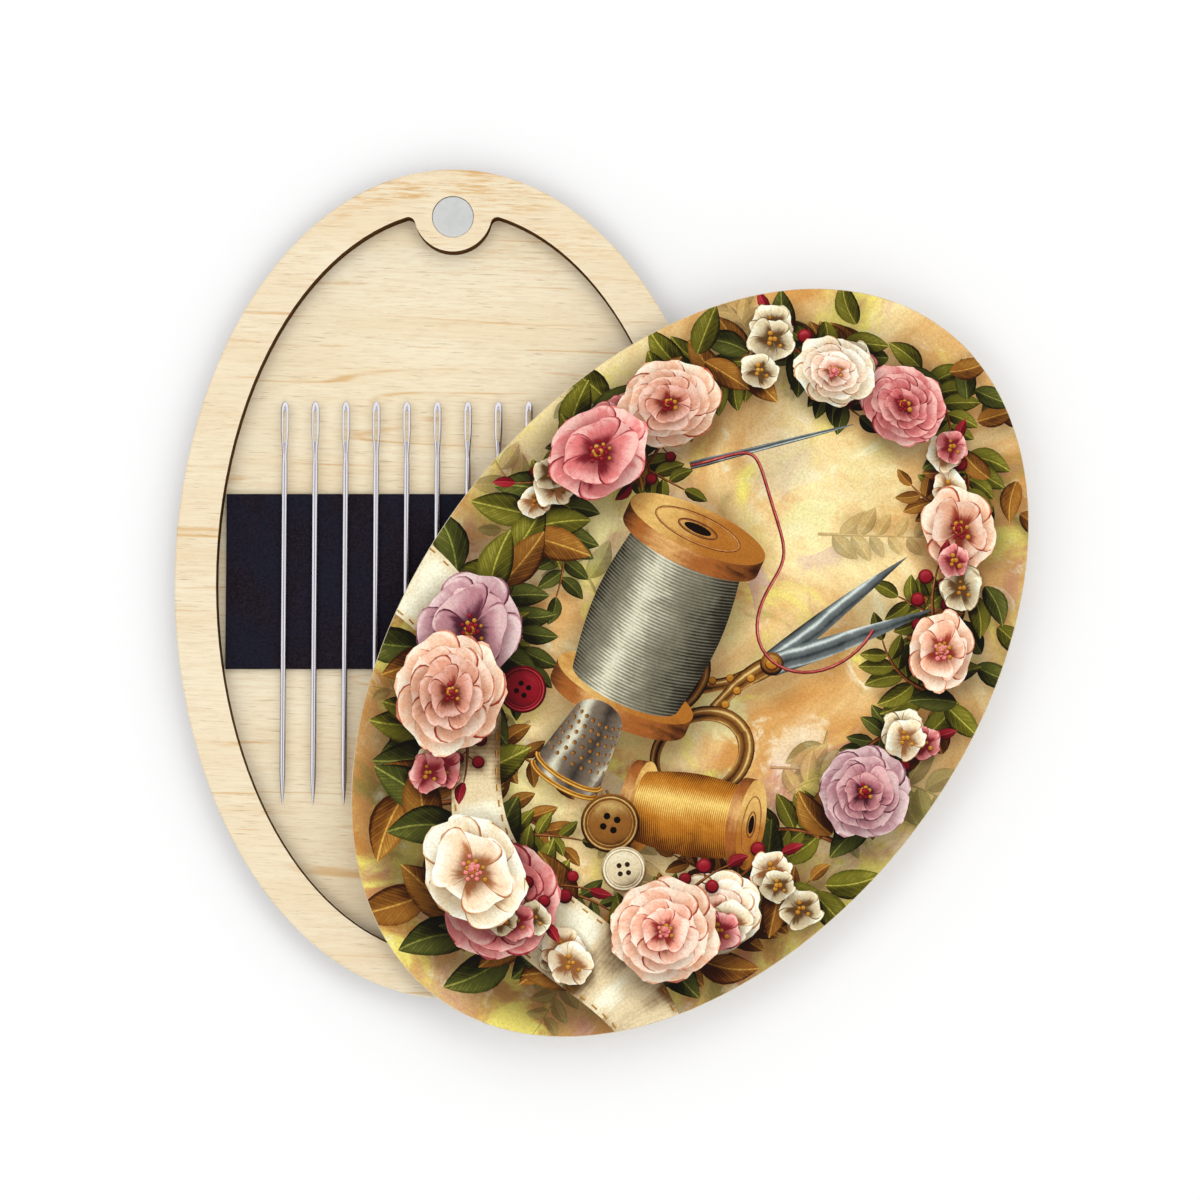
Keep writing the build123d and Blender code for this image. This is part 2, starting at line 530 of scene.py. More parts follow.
@dataclass
class Needle:
    """Large-eye sewing needle, lying along Y with its eye at the +Y end. Sizes in millimetres."""

    length: float
    width: float
    shaft: float
    sides: int = 24
    point: float = 5.5
    tip: float = 0.03
    flat: float = 0.76
    neck: float = 0.78
    neck_thickness: float = 0.84
    head_length: float = 9.6
    neck_place: float = 8.2
    swell: float = 4.2
    round_length: float = 1.5
    crown: tuple[float, float] = (0.08, 0.06)
    eye_start: float = 1.4
    eye_length: float = 4.6
    eye_width: float = 0.55
    gutter_start: float = 0.5
    gutter_length: float = 8.2
    gutter_width: float = 0.36
    gutter_height: float = 0.48
    gutter_reach: float = 0.3
    sharp_angle: float = math.radians(40)

    def stations(self) -> list[tuple[float, float, float]]:
        """Where the section changes.

        Returns:
            Place along Y from the middle, half width and half thickness of each section.
        """
        end = self.length / 2
        shaft, head, flat, neck = self.shaft / 2, self.width / 2, self.flat / 2, self.neck / 2
        thick = self.neck_thickness / 2
        made = []
        point_steps = 8
        for step in range(point_steps + 1):
            share = step / point_steps
            radius = self.tip + (shaft - self.tip) * math.sin(math.pi / 2 * share) ** 0.8
            made.append((-end + self.point * share, radius, radius))
        taper_steps = 5
        taper = self.head_length - self.neck_place
        for step in range(taper_steps + 1):
            share = 0.5 - 0.5 * math.cos(math.pi * step / taper_steps)
            place = end - self.head_length + taper * step / taper_steps
            made.append((place, shaft + (neck - shaft) * share, shaft + (thick - shaft) * share))
        swell_steps = 7
        for step in range(1, swell_steps + 1):
            share = 0.5 - 0.5 * math.cos(math.pi * step / swell_steps)
            place = end - self.neck_place + self.swell * step / swell_steps
            made.append((place, neck + (head - neck) * share, thick + (flat - thick) * share))
        round_steps = 9
        for step in range(round_steps):
            share = math.sin(math.pi / 2 * step / round_steps)
            fall = math.sqrt(1 - share ** 2.2)
            place = end - self.round_length * (1 - share)
            made.append((place, head * fall, flat * max(fall, 0.2) ** 0.8))
        made.append((end, *self.crown))
        return made

    def body(self) -> bmesh.types.BMesh:
        """The needle without its eye.

        Returns:
            A closed mesh in metres, its middle on the origin.
        """
        made = bmesh.new()
        stations = self.stations()
        first = stations[0]
        bmesh.ops.create_circle(made, cap_ends=True, radius=1.0, segments=self.sides)
        ring = list(made.verts)
        turn = Matrix.Rotation(math.radians(90), 4, "X")
        bmesh.ops.transform(made, matrix=turn, verts=ring)
        bmesh.ops.scale(made, vec=(first[1] * MM, 1.0, first[2] * MM), verts=ring)
        bmesh.ops.translate(made, vec=(0.0, first[0] * MM, 0.0), verts=ring)
        edges = list(made.edges)
        before = first
        for station in stations[1:]:
            grown = bmesh.ops.extrude_edge_only(made, edges=edges)["geom"]
            ring = [item for item in grown if isinstance(item, bmesh.types.BMVert)]
            edges = [item for item in grown if isinstance(item, bmesh.types.BMEdge)]
            factor = (station[1] / before[1], 1.0, station[2] / before[2])
            bmesh.ops.scale(made, vec=factor, verts=ring)
            bmesh.ops.translate(made, vec=(0.0, (station[0] - before[0]) * MM, 0.0), verts=ring)
            before = station
        bmesh.ops.holes_fill(made, edges=edges, sides=self.sides)
        bmesh.ops.recalc_face_normals(made, faces=made.faces)
        return made

    def eye_cutter(self) -> bmesh.types.BMesh:
        """The slot of the eye, as a rounded bar that passes right through the head.

        Returns:
            A closed mesh in metres.
        """
        made = bmesh.new()
        radius = self.eye_width / 2
        bmesh.ops.create_cone(made, cap_ends=True, segments=24, radius1=radius * MM, radius2=radius * MM,
                              depth=4 * self.flat * MM)
        half = (self.eye_length / 2 - radius) * MM
        middle = (self.length / 2 - self.eye_start - self.eye_length / 2) * MM
        upper = [v for v in made.verts if v.co.y > 1e-9]
        lower = [v for v in made.verts if v.co.y <= 1e-9]
        bmesh.ops.translate(made, vec=(0.0, middle + half, 0.0), verts=upper)
        bmesh.ops.translate(made, vec=(0.0, middle - half, 0.0), verts=lower)
        return made

    def gutter_cutter(self, side: int) -> bmesh.types.BMesh:
        """The long shallow groove that leads into the eye on one side of the head.

        Args:
            side: 1 for the top, -1 for the underside.

        Returns:
            A closed mesh in metres.
        """
        made = bmesh.new()
        bmesh.ops.create_uvsphere(made, u_segments=24, v_segments=16, radius=1.0)
        size = (self.gutter_width / 2 * MM, self.gutter_length / 2 * MM, self.gutter_reach * MM)
        bmesh.ops.scale(made, vec=size, verts=made.verts)
        middle = self.length / 2 - self.gutter_start - self.gutter_length / 2
        place = (0.0, middle * MM, side * self.gutter_height * MM)
        bmesh.ops.translate(made, vec=place, verts=made.verts)
        return made

    def mesh(self) -> bpy.types.Mesh:
        """The finished needle, its middle on the origin.

        Returns:
            The mesh in metres.
        """
        blank = object_from(self.body(), "needle_blank")
        cutters = [self.eye_cutter(), self.gutter_cutter(1), self.gutter_cutter(-1)]
        helpers = [object_from(cutter, f"needle_cutter_{n}") for n, cutter in enumerate(cutters)]
        for helper in helpers:
            cut = blank.modifiers.new("cut", "BOOLEAN")
            cut.operation = "DIFFERENCE"
            cut.solver = "EXACT"
            cut.object = helper
        bpy.context.view_layer.update()
        seen = blank.evaluated_get(bpy.context.evaluated_depsgraph_get())
        made = bpy.data.meshes.new_from_object(seen)
        for thing in (blank, *helpers):
            bpy.data.objects.remove(thing)
        soften(made, self.sharp_angle)
        return made


def object_from(shape: bmesh.types.BMesh, name: str) -> bpy.types.Object:
    """Turns a bmesh into an object of the scene and frees it.

    Args:
        shape: The bmesh.
        name: Name of the object.

    Returns:
        The new object, at the origin.
    """
    mesh = bpy.data.meshes.new(name)
    shape.to_mesh(mesh)
    shape.free()
    made = bpy.data.objects.new(name, mesh)
    bpy.context.scene.collection.objects.link(made)
    return made


def soften(mesh: bpy.types.Mesh, sharp_angle: float) -> None:
    """Shades a mesh smooth, apart from the edges that turn by more than an angle.

    Args:
        mesh: The mesh.
        sharp_angle: The angle in radians.
    """
    shape = bmesh.new()
    shape.from_mesh(mesh)
    for face in shape.faces:
        face.smooth = True
    for edge in shape.edges:
        edge.smooth = edge.is_manifold and edge.calc_face_angle(0.0) < sharp_angle
    shape.to_mesh(mesh)
    shape.free()


@dataclass
class NeedleRow:
    """The row of needles on the magnetic strip."""

    nodes: list[str]

    def build(self, finish: bpy.types.Material) -> None:
        """Makes one fine needle where each packed needle lies.

        Args:
            finish: Material of the needles.
        """
        low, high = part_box(self.nodes[0])
        size = (high - low) / MM
        pattern = Needle(length=size.y, width=size.x, shaft=size.z).mesh()
        pattern.materials.append(finish)
        for node in self.nodes:
            low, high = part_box(node)
            mesh = pattern.copy()
            mesh.transform(Matrix.Translation((low + high) / 2))
            piece = bpy.data.objects.new(f"{node}_polished", mesh)
            bpy.context.scene.collection.objects.link(piece)
            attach(piece, "case")
            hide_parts(node)
        log.info("made %d needles", len(self.nodes))


Point = complex


def unit(angle: float) -> Point:
    """Unit vector at an angle in radians."""
    return cmath.exp(1j * angle)


@dataclass(frozen=True)
class Tones:
    """The three colours that one painted shape runs through, from its shadow to its light."""

    deep: Colour
    body: Colour
    light: Colour

    def shifted(self, dice: random.Random, spread: float) -> "Tones":
        """The same colours, a little lighter or darker.

        Args:
            dice: Source of the change.
            spread: Largest share of the change.

        Returns:
            The changed colours.
        """
        factor = 1 + dice.uniform(-spread, spread)
        return Tones(*(tuple(channel * factor for channel in tone)
                       for tone in (self.deep, self.body, self.light)))

    def toward(self, other: "Tones", share: float) -> "Tones":
        """Colours between these and others.

        Args:
            other: The other colours.
            share: Share of the others.

        Returns:
            The mixed colours.
        """
        pairs = zip((self.deep, self.body, self.light), (other.deep, other.body, other.light))
        return Tones(*(tuple(a + (b - a) * share for a, b in zip(mine, theirs))
                       for mine, theirs in pairs))


class Palette(Enum):
    """Paints of the printed lid."""

    PEACH = Tones(srgb(186, 92, 68), srgb(246, 196, 166), srgb(255, 240, 222))
    PINK = Tones(srgb(168, 60, 72), srgb(234, 150, 146), srgb(254, 218, 206))
    CREAM = Tones(srgb(196, 140, 94), srgb(250, 226, 194), srgb(255, 250, 238))
    MAUVE = Tones(srgb(122, 66, 84), srgb(206, 160, 164), srgb(242, 218, 212))
    CRIMSON = Tones(srgb(84, 12, 24), srgb(160, 40, 56), srgb(222, 120, 118))
    GOLD = Tones(srgb(112, 62, 18), srgb(198, 142, 58), srgb(250, 226, 150))
    OLIVE = Tones(srgb(48, 42, 10), srgb(130, 122, 48), srgb(212, 198, 112))
    MOSS = Tones(srgb(36, 34, 12), srgb(98, 98, 48), srgb(176, 170, 98))
    RUST = Tones(srgb(80, 42, 16), srgb(166, 116, 56), srgb(226, 190, 112))
    BARK = Tones(srgb(70, 36, 20), srgb(142, 84, 46), srgb(206, 158, 108))
    STEEL = Tones(srgb(38, 42, 46), srgb(128, 130, 128), srgb(240, 240, 232))
    BRONZE = Tones(srgb(58, 34, 18), srgb(160, 112, 58), srgb(246, 220, 160))
    WALNUT = Tones(srgb(78, 42, 20), srgb(180, 118, 66), srgb(242, 200, 144))
    SILK = Tones(srgb(52, 46, 38), srgb(146, 138, 120), srgb(244, 234, 212))
    GOLD_SILK = Tones(srgb(98, 52, 12), srgb(202, 140, 58), srgb(254, 226, 152))
    MADDER_SILK = Tones(srgb(98, 26, 36), srgb(176, 74, 76), srgb(240, 172, 156))
    LINEN = Tones(srgb(144, 108, 70), srgb(234, 212, 178), srgb(255, 247, 228))
    PEARL = Tones(srgb(136, 104, 78), srgb(228, 208, 178), srgb(255, 248, 230))
    SUNLIT = Tones(srgb(206, 186, 120), srgb(240, 228, 170), srgb(252, 246, 214))


@dataclass(frozen=True)
class Blade:
    """Outline of a petal or a leaf: it swells from its root and closes at its tip."""

    rise: float
    fall: float

    def peak(self) -> float:
        """Factor that makes the widest place 1."""
        widest = self.rise / (self.rise + self.fall)
        return 1 / (widest ** self.rise * (1 - widest) ** self.fall)

    def half(self, u: float) -> float:
        """Half width at a place along the middle line.

        Args:
            u: Place from 0 at the root to 1 at the tip.

        Returns:
            Half width, 1 at the widest place.
        """
        return self.peak() * max(u, 0.0) ** self.rise * max(1 - u, 0.0) ** self.fall

    def half_socket(self, graph: ShaderGraph, u: Socket) -> Socket:
        """The same half width as a shader value.

        Args:
            graph: Nodes of the material.
            u: Place along the middle line.

        Returns:
            Half width, never quite 0.
        """
        rising = graph.math("POWER", graph.math("MAXIMUM", u, 0.001), self.rise)
        left = graph.math("MAXIMUM", graph.minus(1.0, u), 0.001)
        falling = graph.math("POWER", left, self.fall)
        product = graph.times(rising, graph.times(falling, self.peak()))
        return graph.math("MAXIMUM", product, 0.02)

    def edge(self, steps: int, ripple: float = 0.0, phase: float = 0.0) -> list[Point]:
        """Points round the outline, u as the real part and v as the imaginary part.

        Args:
            steps: Number of points on each side.
            ripple: Depth of the waves at the tip.
            phase: Where the waves start.

        Returns:
            The points, counterclockwise.
        """
        points = []
        for step in range(2 * steps):
            turn = math.pi * (step / steps - 1)
            u = 0.5 + 0.5 * math.cos(turn)
            v = math.copysign(self.half(u), math.sin(turn))
            wave = ripple * u ** 2 * math.cos(4.2 * v + phase)
            points.append(complex(u + wave, v * (1 + 0.8 * ripple * math.sin(7 * u + phase))))
        return points


PETAL_BLADE = Blade(0.85, 0.45)
LEAF_BLADE = Blade(0.7, 0.95)


@dataclass(frozen=True)
class Field:
    """The brush's own coordinates on a shape: u along it, v across it, with a bend if it curves."""

    origin: Point
    along: Point
    across: Point
    bend: float = 0.0

    def place(self, mark: Point) -> Point:
        """Where brush coordinates lie in the picture.

        Args:
            mark: u as the real part and v as the imaginary part.

        Returns:
            The place in millimetres.
        """
        lift = self.bend * 4 * mark.real * (1 - mark.real)
        return self.origin + mark.real * self.along + (mark.imag + lift) * self.across

    def read(self, point: Point) -> Point:
        """Brush coordinates of a place in the picture.

        Args:
            point: The place in millimetres.

        Returns:
            u as the real part and v as the imaginary part.
        """
        step = point - self.origin
        area = (self.along.conjugate() * self.across).imag
        u = (step.conjugate() * self.across).imag / area
        v = (self.along.conjugate() * step).imag / area
        return complex(u, v - self.bend * 4 * u * (1 - u))


class Brush(Enum):
    """Kinds of painted shape, in the order of the board's material slots after the wood."""

    WASH = 1
    PETAL = 2
    LEAF = 3
    STEM = 4
    BEAD = 5
    METAL = 6
    THREAD = 7
    WOOD = 8
    CLOTH = 9
    BLOT = 10


def facing_up(edge: list[Point]) -> list[Point]:
    """The outline in counterclockwise order."""
    area = sum((a.conjugate() * b).imag for a, b in zip(edge, edge[1:] + edge[:1]))
    return edge if area > 0 else edge[::-1]


@dataclass(frozen=True)
class Stroke:
    """One painted shape: its outline in the picture and what it is painted with."""

    edge: list[Point]
    field: Field
    brush: Brush
    tones: Tones
    solid: float
    seed: float


@dataclass(frozen=True)
class Shade:
    """Soft shadow that a round form casts on what was painted before it."""

    centre: Point
    radius: float
    soft: float
    strength: float
    order: int

    def at(self, point: Point) -> float:
        """Darkness at a place.

        Args:
            point: The place in millimetres.

        Returns:
            Darkness from 0 to the shadow's strength.
        """
        share = 1 - (abs(point - self.centre) - self.radius) / self.soft
        share = min(max(share, 0.0), 1.0)
        return self.strength * share * share * (3 - 2 * share)


@dataclass
class Picture:
    """The painted shapes in the order of painting, with the soft shadows between them.

    Places are complex numbers in millimetres from the middle of the closed lid.
    """

    half_width: float
    half_length: float
    rim_points: int = 288
    grid: float = 0.8
    grid_margin: float = 0.3
    bin_size: float = 5.0
    light: Point = complex(-0.55, 0.75)
    strokes: list[Stroke] = field(default_factory=list)
    shades: list[Shade] = field(default_factory=list)
    dice: random.Random = field(default_factory=lambda: random.Random(7))

    def paint(self, edge: list[Point], place: Field, brush: Brush, tones: Tones,
              solid: float = 1.0) -> None:
        """Adds a shape given in its own brush coordinates.

        Args:
            edge: Outline in brush coordinates.
            place: Where the brush coordinates lie.
            brush: Kind of shape.
            tones: Its colours.
            solid: 1 for opaque paint, less for a glaze.
        """
        outline = [place.place(mark) for mark in edge]
        self.strokes.append(Stroke(outline, place, brush, tones, solid, self.dice.random()))

    def cast(self, centre: Point, radius: float, soft: float, strength: float) -> None:
        """Casts a soft shadow on everything that is painted so far, away from the light.

        Args:
            centre: Middle of the form.
            radius: Where the shadow starts to fade.
            soft: Width over which it fades.
            strength: Darkness under the form.
        """
        middle = centre - self.light * soft * 0.3
        self.shades.append(Shade(middle, radius, soft, strength, len(self.strokes)))

    def paint_line(self, route: list[Point], widths: list[float], brush: Brush, tones: Tones,
                   solid: float = 1.0) -> None:
        """Paints a band along a route, one short quad after another.

        Args:
            route: Points along the middle of the band.
            widths: Half width at each point.
            brush: Kind of shape.
            tones: Its colours.
            solid: 1 for opaque paint, less for a glaze.
        """
        sides = []
        closed = abs(route[0] - route[-1]) < 1e-6
        last = len(route) - 1
        for place, point in enumerate(route):
            before = route[place - 1 if place else (last - 1 if closed else 0)]
            after = route[place + 1 if place < last else (1 if closed else last)]
            normal = 1j * (after - before) / abs(after - before)
            sides.append((point + normal * widths[place], point - normal * widths[place]))
        run = 0.0
        seed = self.dice.random()
        for place in range(last):
            step = route[place + 1] - route[place]
            along = step / abs(step)
            width = (widths[place] + widths[place + 1]) / 2
            laid = Field(route[place] - run * along, along, 1j * along * width)
            corners = [sides[place][1], sides[place + 1][1], sides[place + 1][0], sides[place][0]]
            self.strokes.append(Stroke(corners, laid, brush, tones, solid, seed))
            run += abs(step)

    def inside(self, point: Point) -> bool:
        """Tells whether a place lies far enough inside the board's edge for a grid point."""
        across, up = self.half_width - self.grid_margin, self.half_length - self.grid_margin
        return abs(complex(point.real / across, point.imag / up)) < 1

    def square(self, point: Point) -> tuple[int, int]:
        """Column and row of the square of the picture that a place lies in."""
        return math.floor(point.real / self.bin_size), math.floor(point.imag / self.bin_size)

    def shade_bins(self) -> dict[tuple[int, int], list[Shade]]:
        """Sorts the shadows into squares of the picture, so that few are tried at each place.

        Returns:
            The shadows that reach each square, by its column and row.
        """
        bins: dict[tuple[int, int], list[Shade]] = {}
        for shade in self.shades:
            reach = (shade.radius + shade.soft) * (1 + 1j)
            first, last = self.square(shade.centre - reach), self.square(shade.centre + reach)
            for column in range(first[0], last[0] + 1):
                for row in range(first[1], last[1] + 1):
                    bins.setdefault((column, row), []).append(shade)
        return bins

    def rim(self) -> list[Point]:
        """Points round the oval edge of the picture."""
        turns = (math.tau * n / self.rim_points for n in range(self.rim_points))
        return [complex(self.half_width * math.cos(t), self.half_length * math.sin(t)) for t in turns]

    def grid_points(self) -> list[Point]:
        """Spreads places evenly on the board, which carry the soft shadows between outlines.

        Returns:
            The places in millimetres.
        """
        rows = int(self.half_length / self.grid)
        columns = int(self.half_width / self.grid)
        return [point for row in range(-rows, rows + 1) for column in range(-columns, columns + 1)
                if self.inside(point := complex(column + 0.5 * (row % 2), row) * self.grid)]

    def divide(self) -> tuple[list[Point], list[tuple[tuple[int, ...], int]]]:
        """Cuts the board's top into triangles that never cross an outline.

        Returns:
            The corners, and for each triangle its corner numbers and the stroke that it shows,
            -1 where nothing is painted.
        """
        corners: list[Point] = []
        faces = []
        for edge in [self.rim(), *(facing_up(stroke.edge) for stroke in self.strokes)]:
            faces.append(list(range(len(corners), len(corners) + len(edge))))
            corners.extend(edge)
        corners.extend(self.grid_points())
        flat = [Vector((p.real, p.imag)) for p in corners]
        found = delaunay_2d_cdt(flat, [], faces, 1, 1e-4, True)
        places = [complex(p.x, p.y) for p in found[0]]
        shown = []
        for triangle, sources in zip(found[2], found[5]):
            if 0 in sources:
                shown.append((tuple(triangle), max(sources) - 1))
        return places, shown


@dataclass(frozen=True)
class Blossom:
    """Full blossom of overlapping petals in rings, with a heart of stamens."""

    picture: Picture
    centre: Point
    radius: float
    tones: Tones
    heart: Tones
    rings: int = 4
    petals: int = 8
    turn: float = 0.0
    squash: float = 0.9
    tilt: float = 0.0
    stamens: int = 16
    ring_step: float = 0.2

    def lean(self, offset: Point) -> Point:
        """Foreshortens an offset from the centre, as on a blossom that faces a little away."""
        turned = offset * unit(-self.tilt)
        return complex(turned.real * self.squash, turned.imag) * unit(self.tilt)

    def paint(self) -> None:
        """Paints the blossom."""
        self.picture.cast(self.centre, self.radius * 0.72, self.radius * 0.62, 0.8)
        for ring in range(self.rings):
            self.paint_ring(ring)
        self.paint_heart()

    def paint_ring(self, ring: int) -> None:
        """Paints one ring of petals.

        Args:
            ring: Number of the ring, 0 for the outermost.
        """
        dice = self.picture.dice
        reach = self.radius * (1 - self.ring_step * ring)
        count = max(self.petals - ring, 4)
        if ring:
            self.picture.cast(self.centre, reach * 0.72, reach * 0.5, 0.55)
        for number in range(count):
            angle = self.turn + 0.7 * ring + math.tau * (number + dice.uniform(-0.12, 0.12)) / count
            length = reach * dice.uniform(0.9, 1.0)
            half = length * math.sin(math.pi / count) * dice.uniform(1.3, 1.5)
            along = self.lean(length * unit(angle))
            across = self.lean(1j * half * unit(angle))
            tones = self.tones.toward(self.heart, 0.14 * ring).shifted(dice, 0.07)
            edge = PETAL_BLADE.edge(11, dice.uniform(0.03, 0.07), dice.uniform(0, 6))
            laid = Field(self.centre, along, across, dice.uniform(-0.1, 0.1))
            self.picture.paint(edge, laid, Brush.PETAL, tones)

    def paint_heart(self) -> None:
        """Paints the stamens as dots round the middle."""
        dice = self.picture.dice
        reach = self.radius * (1 - self.ring_step * self.rings) * 0.55 + 0.6
        self.picture.cast(self.centre, reach * 0.6, reach, 0.5)
        for number in range(self.stamens):
            share = math.sqrt((number + 0.5) / self.stamens)
            spot = self.centre + self.lean(reach * (1.05 - share) * unit(2.4 * number))
            tones = self.heart if number % 3 else Palette.GOLD.value
            paint_bead(self.picture, spot, dice.uniform(0.26, 0.42), tones)


def paint_bead(picture: Picture, centre: Point, radius: float, tones: Tones, squash: float = 1.0,
               turn: float = 0.0, brush: Brush = Brush.BEAD, solid: float = 1.0) -> None:
    """Paints a round or oval spot that is shaded as a ball.

    Args:
        picture: The picture to paint in.
        centre: Middle of the spot.
        radius: Its radius in millimetres.
        tones: Its colours.
        squash: Share of the radius across the turn.
        turn: Direction of the longer radius.
        brush: Kind of shape.
        solid: 1 for opaque paint, less for a glaze.
    """
    steps = 8 if radius < 0.6 else 20 if radius < 3 else 40
    edge = [unit(math.tau * n / steps) for n in range(steps)]
    laid = Field(centre, radius * unit(turn), 1j * radius * squash * unit(turn))
    picture.paint(edge, laid, brush, tones, solid)


def paint_leaf(picture: Picture, root: Point, reach: Point, width: float, tones: Tones,
               solid: float = 1.0) -> None:
    """Paints one leaf with a curved middle rib.

    Args:
        picture: The picture to paint in.
        root: Where the leaf starts.
        reach: From its root to its tip.
        width: Greatest width as a share of its length.
        tones: Its colours.
        solid: 1 for opaque paint, less for a glaze.
    """
    dice = picture.dice
    laid = Field(root, reach, 1j * reach * width / 2, dice.uniform(-0.35, 0.35))
    edge = LEAF_BLADE.edge(10 if abs(reach) > 4 else 6)
    picture.paint(edge, laid, Brush.LEAF, tones.shifted(dice, 0.14), solid)


@dataclass(frozen=True)
class Sprig:
    """Twig with leaves on both sides, getting smaller towards its tip."""

    picture: Picture
    root: Point
    reach: Point
    tones: Tones
    sway: float = 0.12
    pairs: int = 5
    leaf: float = 8.0
    leaf_width: float = 0.5
    spread: float = 0.95
    thickness: float = 0.42
    solid: float = 1.0
    berries: bool = False

    def spine(self, share: float) -> Point:
        """A place on the twig.

        Args:
            share: From 0 at the root to 1 at the tip.

        Returns:
            The place in millimetres.
        """
        bow = self.sway * 4 * share * (1 - share) * 1j * self.reach
        return self.root + share * self.reach + bow

    def paint(self) -> None:
        """Paints the twig and its leaves."""
        dice = self.picture.dice
        steps = 12
        route = [self.spine(n / steps) for n in range(steps + 1)]
        widths = [self.thickness * (1 - 0.75 * n / steps) for n in range(steps + 1)]
        for pair in range(self.pairs):
            share = 0.16 + 0.8 * pair / self.pairs
            heading = self.spine(share + 0.02) - self.spine(share - 0.02)
            heading /= abs(heading)
            size = self.leaf * (1 - 0.5 * share) * dice.uniform(0.85, 1.1)
            for side in (-1, 1):
                turn = unit(side * self.spread * dice.uniform(0.8, 1.15))
                root = self.spine(min(share + 0.03 * side, 1.0))
                reach = heading * turn * size
                if self.berries:
                    self.paint_berry(root, reach * 0.5)
                else:
                    self.picture.cast(root + reach * 0.5, size * 0.22, size * 0.3, 0.35 * self.solid)
                    paint_leaf(self.picture, root, reach, self.leaf_width, self.tones, self.solid)
        tip = self.spine(1.0) - self.spine(0.95)
        reach = tip / abs(tip) * self.leaf * 0.55
        paint_leaf(self.picture, self.spine(1.0), reach, self.leaf_width, self.tones, self.solid)
        bark = Palette.BARK.value.toward(self.tones, 0.0 if self.solid == 1 else 0.8)
        self.picture.paint_line(route, widths, Brush.STEM, bark, self.solid)

    def paint_berry(self, root: Point, reach: Point) -> None:
        """Paints a berry on its short stalk.

        Args:
            root: Where the stalk leaves the twig.
            reach: From there to the berry.
        """
        stalk = [root, root + reach * 0.5, root + reach]
        self.picture.paint_line(stalk, [0.12, 0.1, 0.1], Brush.STEM, Palette.BARK.value)
        self.picture.cast(root + reach, 0.8, 0.8, 0.5)
        paint_bead(self.picture, root + reach, self.picture.dice.uniform(0.8, 1.1), self.tones)


@dataclass(frozen=True)
class Notion:
    """A sewing notion that is painted in its own upright drawing, then turned into place."""

    picture: Picture
    centre: Point
    turn: float = 0.0
    scale: float = 1.0

    def at(self, mark: Point) -> Point:
        """Where a place of the upright drawing lies in the picture."""
        return self.centre + self.scale * mark * unit(self.turn)

    def field(self, origin: Point, along: Point, across: Point) -> Field:
        """Brush coordinates given in the upright drawing."""
        turned = self.scale * unit(self.turn)
        return Field(self.at(origin), along * turned, across * turned)

    def shape(self, edge: list[Point], laid: Field, brush: Brush, tones: Tones) -> None:
        """Paints an outline that is given in the upright drawing.

        Args:
            edge: The outline in the upright drawing.
            laid: Brush coordinates, in the picture.
            brush: Kind of shape.
            tones: Its colours.
        """
        outline = [self.at(mark) for mark in edge]
        stroke = Stroke(outline, laid, brush, tones, 1.0, self.picture.dice.random())
        self.picture.strokes.append(stroke)

    def line(self, route: list[Point], widths: list[float], brush: Brush, tones: Tones) -> None:
        """Paints a band along a route that is given in the upright drawing.

        Args:
            route: Points along the middle of the band.
            widths: Half width at each point.
            brush: Kind of shape.
            tones: Its colours.
        """
        scaled = [width * self.scale for width in widths]
        self.picture.paint_line([self.at(mark) for mark in route], scaled, brush, tones)


def arc(centre: Point, across: float, up: float, start: float, end: float, steps: int) -> list[Point]:
    """Points along part of an oval.

    Args:
        centre: Middle of the oval.
        across: Half width.
        up: Half height.
        start: First angle in degrees.
        end: Last angle in degrees.
        steps: Number of steps.

    Returns:
        The points, one more than the steps.
    """
    turns = (math.radians(start + (end - start) * n / steps) for n in range(steps + 1))
    return [centre + complex(across * math.cos(t), up * math.sin(t)) for t in turns]


